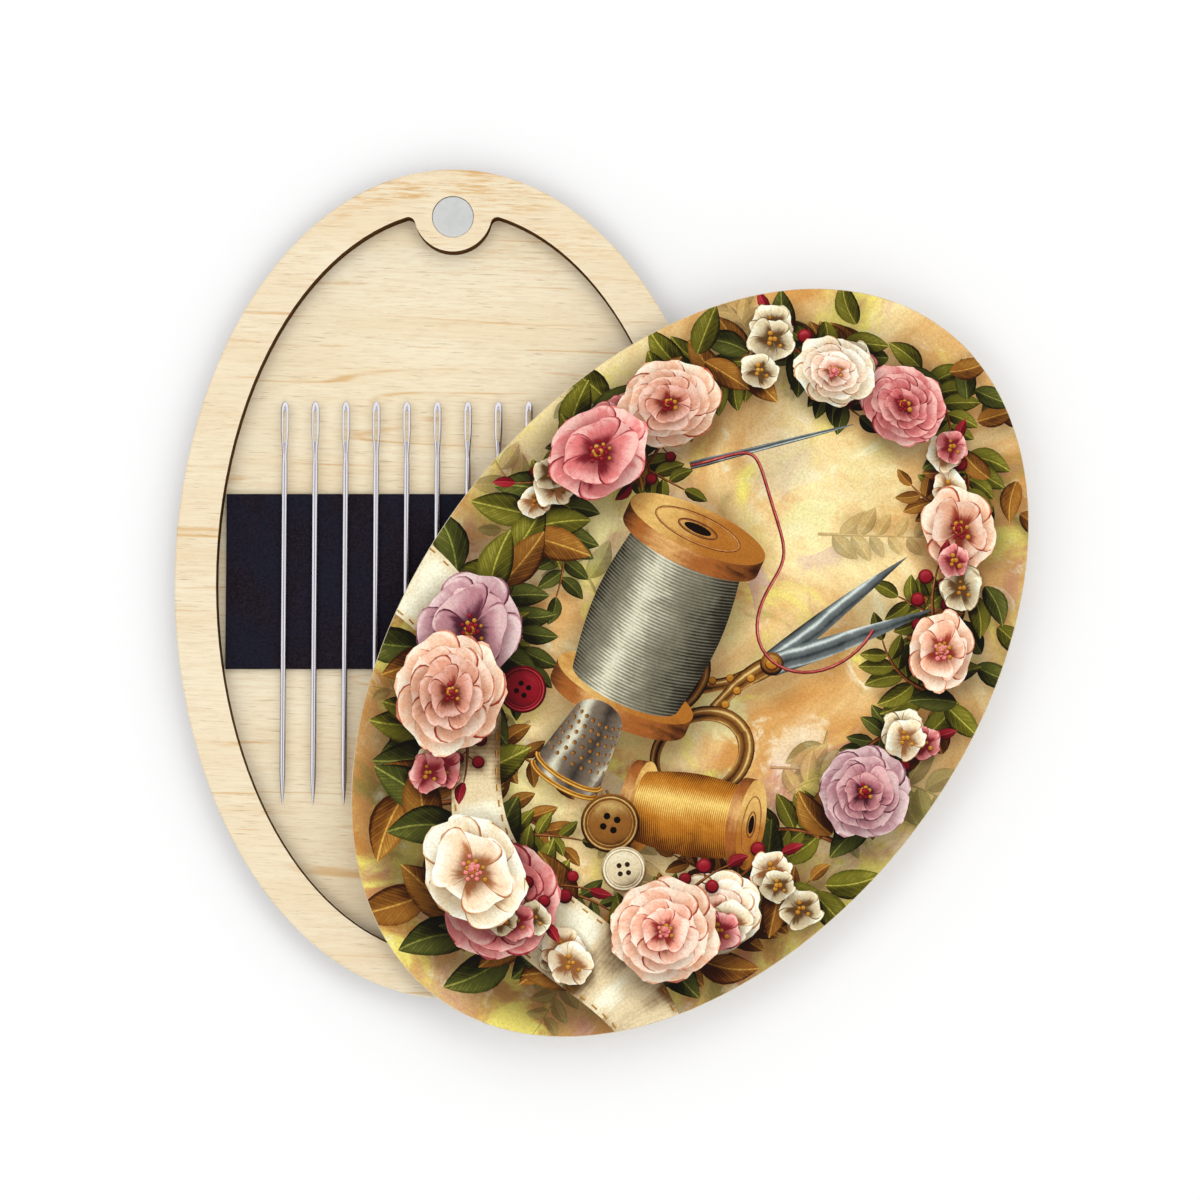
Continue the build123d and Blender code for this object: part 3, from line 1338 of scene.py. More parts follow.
@dataclass(frozen=True)
class Spool(Notion):
    """Turned wooden spool wound with thread, seen a little from above."""

    silk: Tones = Palette.SILK.value
    flange: float = 10.5
    core: float = 8.2
    half_height: float = 12.5
    rim: float = 2.6
    slope: float = 0.3
    bulge: float = 0.16

    def paint(self) -> None:
        """Paints the spool from its foot to its top."""
        for height in (-1.0, -0.4, 0.2, 0.8):
            spot = self.at(complex(0, self.half_height * height))
            self.picture.cast(spot, self.flange * 0.7 * self.scale, 7.5 * self.scale, 0.62)
        self.paint_flange(-self.half_height)
        self.paint_winding()
        self.paint_flange(self.half_height)
        top = complex(0, self.half_height + self.rim / 2)
        for radius, tones in ((0.62, Palette.WALNUT.value), (0.28, Palette.BARK.value)):
            reach = self.flange * radius
            route = arc(top, reach, reach * self.slope, 0, 360, 28)
            self.line(route, [0.16] * 29, Brush.STEM, tones)
        hole = self.flange * 0.2
        laid = self.field(top, complex(hole, 0), complex(0, hole * self.slope))
        edge = arc(top, hole, hole * self.slope, 0, 348, 29)
        self.shape(edge, laid, Brush.WOOD, Tones(*[srgb(38, 22, 12)] * 3))

    def paint_flange(self, height: float) -> None:
        """Paints one flange: the band of its rim, then its oval top.

        Args:
            height: Height of its middle.
        """
        upper, lower = complex(0, height + self.rim / 2), complex(0, height - self.rim / 2)
        drop = self.flange * self.slope
        band = arc(lower, self.flange, drop, 180, 360, 24) + arc(upper, self.flange, drop, 0, -180, 24)
        across = self.field(complex(0, height), complex(0, self.rim), complex(self.flange, 0))
        self.shape(band, across, Brush.WOOD, Palette.WALNUT.value)
        face = arc(upper, self.flange, drop, 0, 352, 44)
        level = self.field(upper, complex(0, 3 * drop), complex(2.4 * self.flange, 0))
        self.shape(face, level, Brush.WOOD, Palette.WALNUT.value.toward(Palette.GOLD.value, 0.45))

    def paint_winding(self) -> None:
        """Paints the wound thread as a barrel."""
        foot = complex(0, -self.half_height + self.rim / 2)
        head = complex(0, self.half_height - self.rim / 2)
        drop = self.core * self.slope
        steps = 10
        side = []
        for step in range(1, steps):
            share = step / steps
            reach = self.core * (1 + self.bulge * math.sin(math.pi * share))
            side.append(foot + (head - foot) * share + reach)
        outline = arc(foot, self.core, drop, 180, 360, 20) + side
        outline += arc(head, self.core, drop, 0, -180, 20)
        outline += [-mark.conjugate() for mark in reversed(side)]
        laid = self.field(0j, 1j, complex(self.core * (1 + self.bulge), 0))
        self.shape(outline, laid, Brush.THREAD, self.silk)


@dataclass(frozen=True)
class Scissors(Notion):
    """Embroidery scissors with oval bows and scrolled shanks."""

    opening: float = 0.17
    blade: float = 25.0
    blade_width: float = 3.6
    shank: float = 9.0
    bow_across: float = 5.6
    bow_up: float = 6.8

    def paint(self) -> None:
        """Paints one half, then the other, then the screw that joins them."""
        for mark in (-16, -8, 0, 8, 16):
            self.picture.cast(self.at(complex(0, mark)), 2.2 * self.scale, 4.5 * self.scale, 0.45)
        self.paint_half(1)
        self.paint_half(-1)
        paint_bead(self.picture, self.centre, 1.7 * self.scale, Palette.BRONZE.value)
        paint_bead(self.picture, self.centre, 1.0 * self.scale, Palette.GOLD.value)

    def paint_half(self, side: int) -> None:
        """Paints a blade with its shank and bow.

        Args:
            side: 1 or -1, for the half whose blade leans left or right.
        """
        lean = unit(side * self.opening)
        half = self.blade_width / 2
        wide = half * side
        shares = [step / 8 for step in range(9)]
        root = [complex(-0.5 * wide, -1.6), complex(0.5 * wide, -1.6)]
        back = [complex(wide * (0.8 - 0.8 * share ** 1.6), self.blade * share) for share in shares]
        cutting = [complex(-wide * (1 - share ** 2.2), self.blade * share) for share in shares[-2::-1]]
        edge = [mark * lean for mark in root + back + cutting]
        laid = self.field(0j, 1j * lean, half * lean)
        self.shape(edge, laid, Brush.METAL, Palette.STEEL.value)
        bow = complex(-side * (self.bow_across + 0.9), -self.shank - self.bow_up * 0.9)
        route, widths = [], []
        for share in shares:
            swing = complex(-side * 2.6 * share ** 2, -self.shank * share - 1.0)
            route.append(swing * unit(side * self.opening * 0.4))
            widths.append(1.35 - 0.45 * math.sin(math.pi * share) + 0.25 * math.sin(5 * share))
        self.line(route, widths, Brush.METAL, Palette.BRONZE.value)
        loop = arc(bow, self.bow_across, self.bow_up, 90, 450, 40)
        thick = [0.95 + 0.25 * math.cos(math.tau * n / 40) for n in range(41)]
        self.line(loop, thick, Brush.METAL, Palette.BRONZE.value)
        for mark in (2.6, 5.2, 7.6):
            spot = complex(-side * (0.2 + mark * mark * 0.03), -mark - 1.0)
            paint_bead(self.picture, self.at(spot), 0.62 * self.scale, Palette.GOLD.value)


@dataclass(frozen=True)
class Thimble(Notion):
    """Metal thimble with rows of dimples."""

    foot: float = 5.2
    head: float = 3.8
    height: float = 9.5

    def paint(self) -> None:
        """Paints the thimble."""
        self.picture.cast(self.at(complex(0, self.height * 0.4)), 4.2 * self.scale, 4 * self.scale, 0.6)
        outline = arc(0j, self.foot, self.foot * 0.3, 180, 360, 16)
        outline += arc(complex(0, self.height), self.head, self.head * 0.75, 0, 180, 16)
        laid = self.field(0j, 1j, complex(self.foot, 0))
        tones = Palette.STEEL.value.toward(Palette.BRONZE.value, 0.35)
        self.shape(outline, laid, Brush.METAL, tones)
        for row in range(6):
            height = 3.4 + 1.35 * row
            reach = self.foot + (self.head - self.foot) * height / self.height
            for column in range(9):
                turn = math.radians(-72 + 18 * column + 9 * (row % 2))
                drop = reach * 0.3 * (math.cos(turn) - 1) + 0.9
                spot = complex(reach * math.sin(turn) * 0.97, height - drop)
                paint_bead(self.picture, self.at(spot), 0.34 * self.scale, Palette.BRONZE.value,
                           max(math.cos(turn), 0.35), self.turn + math.pi / 2)
        for height in (0.2, 1.5):
            band = arc(complex(0, height), self.foot, self.foot * 0.3, 180, 360, 16)
            self.line(band, [0.36] * 17, Brush.METAL, Palette.GOLD.value)


@dataclass(frozen=True)
class SewingButton(Notion):
    """Round button with a raised rim and four holes."""

    radius: float = 4.0
    tones: Tones = Palette.PEARL.value

    def paint(self) -> None:
        """Paints the button."""
        size = self.radius * self.scale
        self.picture.cast(self.centre, size * 0.7, size * 0.9, 0.6)
        paint_bead(self.picture, self.centre, size, self.tones)
        rim = arc(0j, self.radius * 0.84, self.radius * 0.84, 0, 360, 32)
        self.line(rim, [self.radius * 0.1] * 33, Brush.METAL, self.tones)
        hole = Tones(*[tuple(channel * 0.25 for channel in self.tones.deep)] * 3)
        for number in range(4):
            spot = self.centre + size * 0.26 * unit(self.turn + math.pi / 4 + math.pi / 2 * number)
            paint_bead(self.picture, spot, size * 0.12, hole)


@dataclass(frozen=True)
class Ribbon:
    """Linen ribbon that runs in waves behind the wreath, with a stitched edge."""

    picture: Picture
    start: Point
    reach: Point
    waves: float = 1.6
    height: float = 5.0
    half: float = 5.6
    tones: Tones = Palette.LINEN.value

    def paint(self) -> None:
        """Paints the band, its hems and its stitches."""
        steps = 44
        normal = 1j * self.reach / abs(self.reach)
        route, widths = [], []
        for step in range(steps + 1):
            share = step / steps
            swing = self.height * math.sin(math.tau * self.waves * share)
            route.append(self.start + share * self.reach + swing * normal)
            widths.append(self.half * (0.8 + 0.2 * math.cos(math.tau * self.waves * share)))
        for place in route[::2]:
            self.picture.cast(place, self.half * 0.7, 3.4, 0.26)
        self.picture.paint_line(route, widths, Brush.CLOTH, self.tones)
        for side in (-1, 1):
            for step in range(1, steps):
                heading = route[step + 1] - route[step - 1]
                heading /= abs(heading)
                hem = route[step] + 1j * side * heading * (widths[step] - 0.55)
                stitch = [hem - heading * 0.5, hem + heading * 0.5]
                self.picture.paint_line(stitch, [0.13, 0.13], Brush.STEM, Palette.GOLD.value)


@dataclass
class WreathDesign:
    """The picture on the lid: a wreath of blossoms and leaves round sewing notions."""

    picture: Picture
    heavy_side: float = math.radians(248)
    blossom_count: int = 13
    blossom_radius: float = 8.6

    def paint(self) -> None:
        """Paints from the background to the nearest blossoms."""
        self.paint_background()
        self.paint_foliage()
        Ribbon(self.picture, complex(-44, -15), complex(88, -44)).paint()
        self.paint_notions()
        self.paint_wreath()
        log.info("painted %d shapes on the lid", len(self.picture.strokes))

    def ring(self, angle: float, share: float) -> Point:
        """A place on an oval inside the board.

        Args:
            angle: Angle in radians.
            share: Size of the oval as a share of the board.

        Returns:
            The place in millimetres.
        """
        picture = self.picture
        return complex(picture.half_width * share * math.cos(angle),
                       picture.half_length * share * math.sin(angle))

    def weight(self, angle: float) -> float:
        """How full the wreath is in a direction, from 0 to 1."""
        return 0.5 + 0.5 * math.cos(angle - self.heavy_side)

    def paint_background(self) -> None:
        """Paints the pale clouds and the faint leaves."""
        dice = self.picture.dice
        for _ in range(26):
            centre = self.ring(dice.uniform(0, math.tau), dice.uniform(0.1, 0.95))
            tones = dice.choice((Palette.SUNLIT, Palette.CREAM, Palette.MAUVE)).value
            paint_bead(self.picture, centre, dice.uniform(5, 11), tones, dice.uniform(0.6, 1.0),
                       dice.uniform(0, 6), Brush.BLOT, dice.uniform(0.35, 0.7))
        for _ in range(16):
            angle = dice.uniform(0, math.tau)
            root = self.ring(angle, dice.uniform(0.35, 0.8))
            reach = dice.uniform(14, 22) * unit(angle + dice.uniform(-0.9, 0.9))
            tones = dice.choice((Palette.OLIVE, Palette.RUST)).value.toward(Palette.SUNLIT.value, 0.35)
            Sprig(self.picture, root, reach, tones, dice.uniform(-0.2, 0.2), 5, dice.uniform(5, 8),
                  thickness=0.22, solid=0.62).paint()

    def paint_foliage(self) -> None:
        """Paints the twigs that stand out of the wreath and the leaves that fill it."""
        dice = self.picture.dice
        count = 32
        for number in range(count):
            angle = math.tau * number / count
            full = self.weight(angle)
            self.picture.cast(self.ring(angle, 0.86 - 0.1 * full), 3.5 + 3 * full, 7.0, 0.3 + 0.5 * full)
        for number in range(count):
            angle = math.tau * (number + dice.uniform(-0.3, 0.3)) / count
            full = self.weight(angle)
            root = self.ring(angle, 0.86 - 0.1 * full)
            inward = -root / abs(root)
            reach = inward * unit(dice.choice((-1, 1)) * dice.uniform(0.5, 1.35)) * (10 + 9 * full)
            tones = dice.choice((Palette.OLIVE, Palette.MOSS, Palette.OLIVE, Palette.RUST)).value
            Sprig(self.picture, root, reach, tones, dice.uniform(-0.18, 0.18), 5,
                  dice.uniform(5.5, 8)).paint()
        leaves = 150
        for number in range(leaves):
            angle = math.tau * number / leaves + dice.uniform(-0.05, 0.05)
            full = self.weight(angle)
            root = self.ring(angle, dice.uniform(0.8, 0.98) - 0.12 * full)
            reach = (6 + 5 * full) * unit(dice.uniform(0, math.tau))
            tones = dice.choice((Palette.OLIVE, Palette.MOSS, Palette.RUST)).value
            self.picture.cast(root + reach / 2, 1.5, 2.2, 0.35)
            paint_leaf(self.picture, root, reach, 0.52, tones)

    def paint_notions(self) -> None:
        """Paints the spools, scissors, thimble, buttons and the threaded needle."""
        picture = self.picture
        Scissors(picture, complex(9.5, 6.5), math.radians(-24)).paint()
        Spool(picture, complex(-7.5, 2.0), math.radians(13)).paint()
        Spool(picture, complex(13.5, -17.5), math.radians(-62), 0.62, Palette.GOLD_SILK.value).paint()
        Thimble(picture, complex(-4.0, -24.5), math.radians(8)).paint()
        SewingButton(picture, complex(5.0, -25.5), 0.3, 1.0, 4.2, Palette.BRONZE.value).paint()
        SewingButton(picture, complex(10.5, -29.5), 0.8, 1.0, 3.2, Palette.PEARL.value).paint()
        SewingButton(picture, complex(-16.5, -18.0), 0.1, 1.0, 3.4, Palette.CRIMSON.value).paint()
        self.paint_threaded_needle()

    def paint_threaded_needle(self) -> None:
        """Paints a needle with a long loose thread."""
        eye, tip = complex(-17, 22), complex(-2, 41)
        route = [eye + (tip - eye) * n / 10 for n in range(11)]
        self.picture.cast((eye + tip) / 2, 4, 4, 0.25)
        widths = [0.55, 0.6, 0.5, 0.45, 0.42, 0.4, 0.37, 0.34, 0.28, 0.2, 0.06]
        self.picture.paint_line(route, widths, Brush.METAL, Palette.STEEL.value)
        paint_bead(self.picture, eye + (tip - eye) * 0.05, 0.9, Palette.BARK.value, 0.26,
                   cmath.phase(tip - eye))
        thread = []
        for step in range(61):
            share = step / 60
            drift = complex(-17 + 34 * share, 22 + 8 * math.sin(math.tau * share) - 6 * share)
            thread.append(drift + 3.4 * share * unit(math.tau * 2.2 * share))
        self.picture.paint_line(thread, [0.24] * 61, Brush.STEM, Palette.MADDER_SILK.value)

    def paint_wreath(self) -> None:
        """Paints the blossoms, largest on the heavy side, with small ones and berries between."""
        dice = self.picture.dice
        looks = [(Palette.PEACH, Palette.CRIMSON), (Palette.PINK, Palette.CRIMSON),
                 (Palette.CREAM, Palette.PINK), (Palette.PEACH, Palette.PINK),
                 (Palette.MAUVE, Palette.CRIMSON)]
        spots = [math.tau * (n + 0.3 * math.sin(3.0 * n)) / self.blossom_count
                 for n in range(self.blossom_count)]
        for number, angle in enumerate(sorted(spots, key=self.weight)):
            full = self.weight(angle)
            centre = self.ring(angle, 0.8 - 0.07 * full)
            self.paint_cluster(centre, angle)
            tones, heart = looks[number % len(looks)]
            rings, petals, stamens, ring_step = (4, 8, 18, 0.2) if number % 3 else (2, 6, 26, 0.3)
            radius = self.blossom_radius * (0.72 + 0.36 * full) * dice.uniform(0.9, 1.08)
            Blossom(self.picture, centre, radius, tones.value, heart.value, rings, petals,
                    dice.uniform(0, 6), dice.uniform(0.78, 0.98), angle, stamens, ring_step).paint()

    def paint_cluster(self, centre: Point, angle: float) -> None:
        """Paints small blossoms and a twig of berries beside a large blossom.

        Args:
            centre: Middle of the large blossom.
            angle: Its direction from the middle of the board.
        """
        dice = self.picture.dice
        side = centre + 9.5 * unit(angle + math.pi / 2)
        reach = (side - centre) * unit(dice.uniform(-0.4, 0.9)) * 1.35
        Sprig(self.picture, centre, reach, Palette.CRIMSON.value, 0.1, 3, 6.0, berries=True).paint()
        for _ in range(3):
            spot = side + dice.uniform(0, 4) * unit(dice.uniform(0, math.tau))
            tones = dice.choice((Palette.CREAM, Palette.PINK, Palette.LINEN)).value
            Blossom(self.picture, spot, dice.uniform(2.4, 3.4), tones, Palette.GOLD.value, 1, 5,
                    dice.uniform(0, 6), 0.9, angle, 5).paint()


class PrintFinish:
    """Printed paint on the lid: the wash of the background, and what all brushes share.

    Each row of clouds is one layer of the wash: its grain size, the settings of its noise, the
    levels between which it sets in, its strength and its colour.
    """

    name = "print_wash"
    umber = srgb(66, 34, 10)
    contrast = 1.4
    gain = (1.17, 1.3, 1.34)
    veil = False
    clouds = (
        ((17.0, 19.0), (5.0, 0.62, 1.3), (0.5, 0.64), 1.0, srgb(244, 226, 140)),
        ((21.0, 15.0), (5.0, 0.6, 1.0), (0.56, 0.7), 0.75, srgb(170, 158, 98)),
        ((14.0, 22.0), (5.0, 0.6, 0.8), (0.56, 0.7), 0.8, srgb(214, 156, 140)),
        ((9.0, 8.0), (6.0, 0.66, 1.6), (0.55, 0.72), 0.7, srgb(248, 236, 208)),
    )

    def __init__(self, swing: Swing) -> None:
        """Starts the material and reads what the mesh says about the shape at each place.

        Args:
            swing: The lid's swing, so that the wash turns with it.
        """
        self.swing = swing
        self.graph = ShaderGraph(self.name)
        stroke_map = self.graph.add("ShaderNodeUVMap", uv_map="stroke")
        self.u, self.v, _ = self.graph.split(stroke_map.outputs["UV"])
        self.solid, self.seed, self.dark = self.graph.split(self.graph.attribute("mood", "Vector"))

    def grain(self, width: float, length: float) -> Socket:
        """Coordinates in the closed lid's frame, divided by a grain size in millimetres."""
        return self.graph.place((width, length, 50.0), self.swing.turn, self.swing.pivot)

    def wash(self) -> Socket:
        """Colour of the clouded background.

        Returns:
            The colour.
        """
        graph = self.graph
        mist = graph.noise(self.grain(26.0, 30.0), 5.0, 0.6, 0.9)
        colour = graph.blend(graph.smooth(mist, 0.34, 0.66), srgb(222, 170, 108), srgb(253, 232, 186))
        low = graph.split(self.grain(40.0, 60.0))[1]
        dusk = graph.smooth(graph.plus(low, graph.scaled(mist, 1.2, -0.6)), 0.1, -0.9)
        colour = graph.blend(graph.times(dusk, 0.45), colour, srgb(196, 138, 78))
        for size, settings, step, strength, tint in self.clouds:
            layer = graph.smooth(graph.noise(self.grain(*size), *settings), *step)
            colour = graph.blend(graph.times(layer, strength), colour, tint)
        return colour

    def level(self) -> Socket | None:
        """How light the paint is, from 0 for its shadow tone to 1 for its light tone."""
        return None

    def cover(self) -> Value:
        """How much of the wash a glaze hides, before its own strength."""
        return 1.0

    def tinted(self, level: Socket) -> Socket:
        """Runs through the shape's three tones.

        Args:
            level: From 0 for the shadow tone to 1 for the light tone.

        Returns:
            The colour.
        """
        graph = self.graph
        tone = [graph.attribute(name, "Color") for name in ("deep", "body", "light")]
        lower = graph.blend(graph.smooth(level, 0.0, 0.5), tone[0], tone[1])
        return graph.blend(graph.times(graph.smooth(level, 0.5, 1.0), 0.8), lower, tone[2])

    def build(self) -> bpy.types.Material:
        """Makes the material.

        Returns:
            The finished material.
        """
        graph = self.graph
        level = self.level()
        if level is None:
            colour = self.wash()
        else:
            blots = graph.noise(self.grain(3.4, 3.0), 5.0, 0.65, 0.6)
            level = graph.plus(level, graph.scaled(blots, 0.5, -0.25))
            colour = self.tinted(graph.minus(level, graph.times(self.dark, 0.3)))
            if self.veil:
                colour = graph.blend(graph.times(self.solid, self.cover()), self.wash(), colour)
        shade = graph.times(self.dark, 0.86)
        colour = graph.blend(shade, colour, graph.blend(0.8, colour, self.umber, "MULTIPLY"))
        fine = graph.noise(self.grain(0.32, 0.32), 2.0, 0.6)
        colour = graph.blend(graph.times(graph.smooth(fine, 0.35, 0.7), 0.13), colour, self.umber)
        cured = graph.add("ShaderNodeGamma")
        graph.put(cured.inputs["Color"], colour)
        graph.put(cured.inputs["Gamma"], self.contrast)
        graph.set("Base Color", graph.blend(1.0, cured.outputs["Color"], self.gain, "MULTIPLY"))
        graph.set("Roughness", 0.5)
        graph.set("Specular IOR Level", 0.1)
        pores = graph.noise(graph.place((4.0, 0.16, 3.0), self.swing.turn, self.swing.pivot), 3.0, 0.6)
        graph.bump(pores, 0.015 * MM, 0.4)
        return graph.material


class PetalFinish(PrintFinish):
    """Petals: deep at the root, light at the rim, one side in shadow."""

    name = "print_petal"
    veil = True

    def level(self) -> Socket:
        """Veined from root to rim, with a curled light rim and a fine dark outline.

        Returns:
            The level.
        """
        graph, u, v = self.graph, self.u, self.v
        half = PETAL_BLADE.half_socket(graph, u)
        side = graph.math("DIVIDE", v, half)
        edge = graph.math("ABSOLUTE", side)
        fan = graph.math("DIVIDE", v, graph.plus(u, 0.3))
        veins = graph.noise(graph.join(graph.times(u, 1.6), graph.times(fan, 5.0),
                                       graph.times(self.seed, 31.0)), 3.0, 0.6)
        level = graph.scaled(graph.smooth(u, 0.05, 0.95), 0.78, 0.12)
        level = graph.minus(level, graph.times(graph.smooth(veins, 0.45, 0.75), 0.2))
        level = graph.plus(level, graph.times(graph.smooth(side, -0.9, 0.9), 0.34))
        level = graph.minus(level, 0.17)
        curl = graph.times(graph.smooth(edge, 0.7, 0.88), graph.smooth(edge, 0.97, 0.9))
        level = graph.plus(level, graph.times(curl, 0.22))
        return graph.minus(level, graph.times(graph.smooth(edge, 0.92, 1.0), 0.5))


class LeafFinish(PrintFinish):
    """Leaves: a pale middle rib, slanted side veins and two unequal halves."""

    name = "print_leaf"
    veil = True

    def level(self) -> Socket:
        """Quilted between the side veins.

        Returns:
            The level.
        """
        graph, u, v = self.graph, self.u, self.v
        half = LEAF_BLADE.half_socket(graph, u)
        across = graph.math("ABSOLUTE", v)
        edge = graph.math("DIVIDE", across, half)
        level = graph.scaled(graph.smooth(v, -0.35, 0.35), 0.34, 0.28)
        level = graph.plus(level, graph.times(graph.smooth(u, 0.1, 1.0), 0.12))
        phase = graph.minus(graph.times(u, 6.5), graph.times(across, 2.6))
        wave = graph.math("PINGPONG", phase, 0.5)
        level = graph.minus(level, graph.times(graph.smooth(wave, 0.5, 0.1), 0.13))
        level = graph.plus(level, graph.times(graph.smooth(wave, 0.12, 0.0), 0.15))
        rib = graph.smooth(across, 0.08, 0.015)
        level = graph.plus(level, graph.times(rib, 0.4))
        return graph.minus(level, graph.times(graph.smooth(edge, 0.7, 1.0), 0.3))


class StemFinish(PrintFinish):
    """Twigs and threads: round in section."""

    name = "print_stem"
    veil = True

    def level(self) -> Socket:
        """Light a little to one side of the middle.

        Returns:
            The level.
        """
        graph, v = self.graph, self.v
        round_off = graph.smooth(graph.math("ABSOLUTE", graph.minus(v, 0.3)), 1.2, 0.0)
        speckle = graph.noise(graph.join(graph.times(self.u, 0.9), v, self.seed), 2.0, 0.6)
        return graph.plus(graph.times(round_off, 0.8), graph.scaled(speckle, 0.5, -0.25))


class BeadFinish(PrintFinish):
    """Round things: berries, stamens, pearls and buttons."""

    name = "print_bead"

    def level(self) -> Socket:
        """Light at the upper left, dark at the rim.

        Returns:
            The level.
        """
        graph = self.graph
        out = graph.reach(self.u, self.v)
        slant = graph.scaled(graph.minus(self.v, self.u), 0.22, 0.55)
        return graph.minus(slant, graph.times(graph.smooth(out, 0.6, 1.0), 0.45))


class MetalPrintFinish(PrintFinish):
    """Painted metal: hard bands of light and dark along the form."""

    name = "print_metal"

    def level(self) -> Socket:
        """Bands across the form, bent a little by a slow noise.

        Returns:
            The level.
        """
        graph, seed = self.graph, self.seed
        bend = graph.noise(graph.join(graph.times(self.u, 0.16), seed, seed), 2.0, 0.5)
        place = graph.plus(self.v, graph.scaled(bend, 0.6, -0.3))
        return graph.bands(place, [(0.0, 0.1), (0.14, 0.45), (0.3, 0.95), (0.4, 0.6), (0.62, 0.2),
                                   (0.8, 0.5), (0.92, 0.8), (1.0, 0.25)])


class ThreadFinish(PrintFinish):
    """Wound thread: fine turns round a barrel."""

    name = "print_thread"

    def level(self) -> Socket:
        """A ridge for each turn, on a barrel that is lit from the left.

        Returns:
            The level.
        """
        graph, u, v = self.graph, self.u, self.v
        barrel = graph.bands(v, [(0.0, 0.12), (0.2, 0.55), (0.34, 0.92), (0.46, 0.7), (0.75, 0.34),
                                 (1.0, 0.06)])
        sag = graph.times(graph.times(v, v), 1.9)
        turns = graph.times(graph.minus(u, sag), 2.1)
        ridge = graph.smooth(graph.math("PINGPONG", turns, 0.5), 0.05, 0.45)
        return graph.plus(barrel, graph.scaled(ridge, 0.26, -0.13))


class TurnedWoodFinish(PrintFinish):
    """Turned wood of the spool: a round rim with fine grain."""

    name = "print_turned_wood"

    def level(self) -> Socket:
        """Lit from the left, with streaks round the rim.

        Returns:
            The level.
        """
        graph, u, v = self.graph, self.u, self.v
        barrel = graph.bands(v, [(0.0, 0.2), (0.25, 0.72), (0.38, 0.9), (0.55, 0.6), (1.0, 0.14)])
        streaks = graph.noise(graph.join(graph.times(u, 3.0), graph.times(v, 1.5), self.seed), 3.0, 0.6)
        return graph.plus(barrel, graph.scaled(streaks, 0.5, -0.25))


class ClothFinish(PrintFinish):
    """Linen ribbon: soft folds across it and a fine weave."""

    name = "print_cloth"

    def level(self) -> Socket:
        """Folds run across the ribbon, darker towards its hems.

        Returns:
            The level.
        """
        graph, u, v = self.graph, self.u, self.v
        folds = graph.noise(graph.join(graph.times(u, 0.2), graph.times(v, 0.22), self.seed), 2.0, 0.45)
        weave = graph.math("PINGPONG", graph.times(u, 1.6), 0.5)
        hem = graph.times(graph.smooth(graph.math("ABSOLUTE", v), 0.6, 1.0), 0.22)
        level = graph.scaled(graph.smooth(folds, 0.32, 0.66), 0.55, 0.36)
        return graph.minus(graph.plus(level, graph.times(weave, 0.12)), hem)


class BlotFinish(PrintFinish):
    """Pale blot in the background with a ragged soft edge."""

    name = "print_blot"
    veil = True

    def level(self) -> Socket:
        """Nearly even."""
        spots = self.graph.noise(self.graph.join(self.u, self.v, self.seed), 4.0, 0.6)
        return self.graph.scaled(spots, 0.5, 0.5)

    def cover(self) -> Value:
        """Fades out before its edge, more in some places than in others.

        Returns:
            How much of the wash it hides.
        """
        graph = self.graph
        out = graph.reach(self.u, self.v)
        ragged = graph.noise(self.grain(4.0, 4.0), 5.0, 0.65, 0.8)
        return graph.smooth(graph.plus(out, graph.scaled(ragged, 1.4, -0.7)), 0.85, 0.5)


PRINT_FINISHES: dict[Brush, type[PrintFinish]] = {
    Brush.WASH: PrintFinish,
    Brush.PETAL: PetalFinish,
    Brush.LEAF: LeafFinish,
    Brush.STEM: StemFinish,
    Brush.BEAD: BeadFinish,
    Brush.METAL: MetalPrintFinish,
    Brush.THREAD: ThreadFinish,
    Brush.WOOD: TurnedWoodFinish,
    Brush.CLOTH: ClothFinish,
    Brush.BLOT: BlotFinish,
}


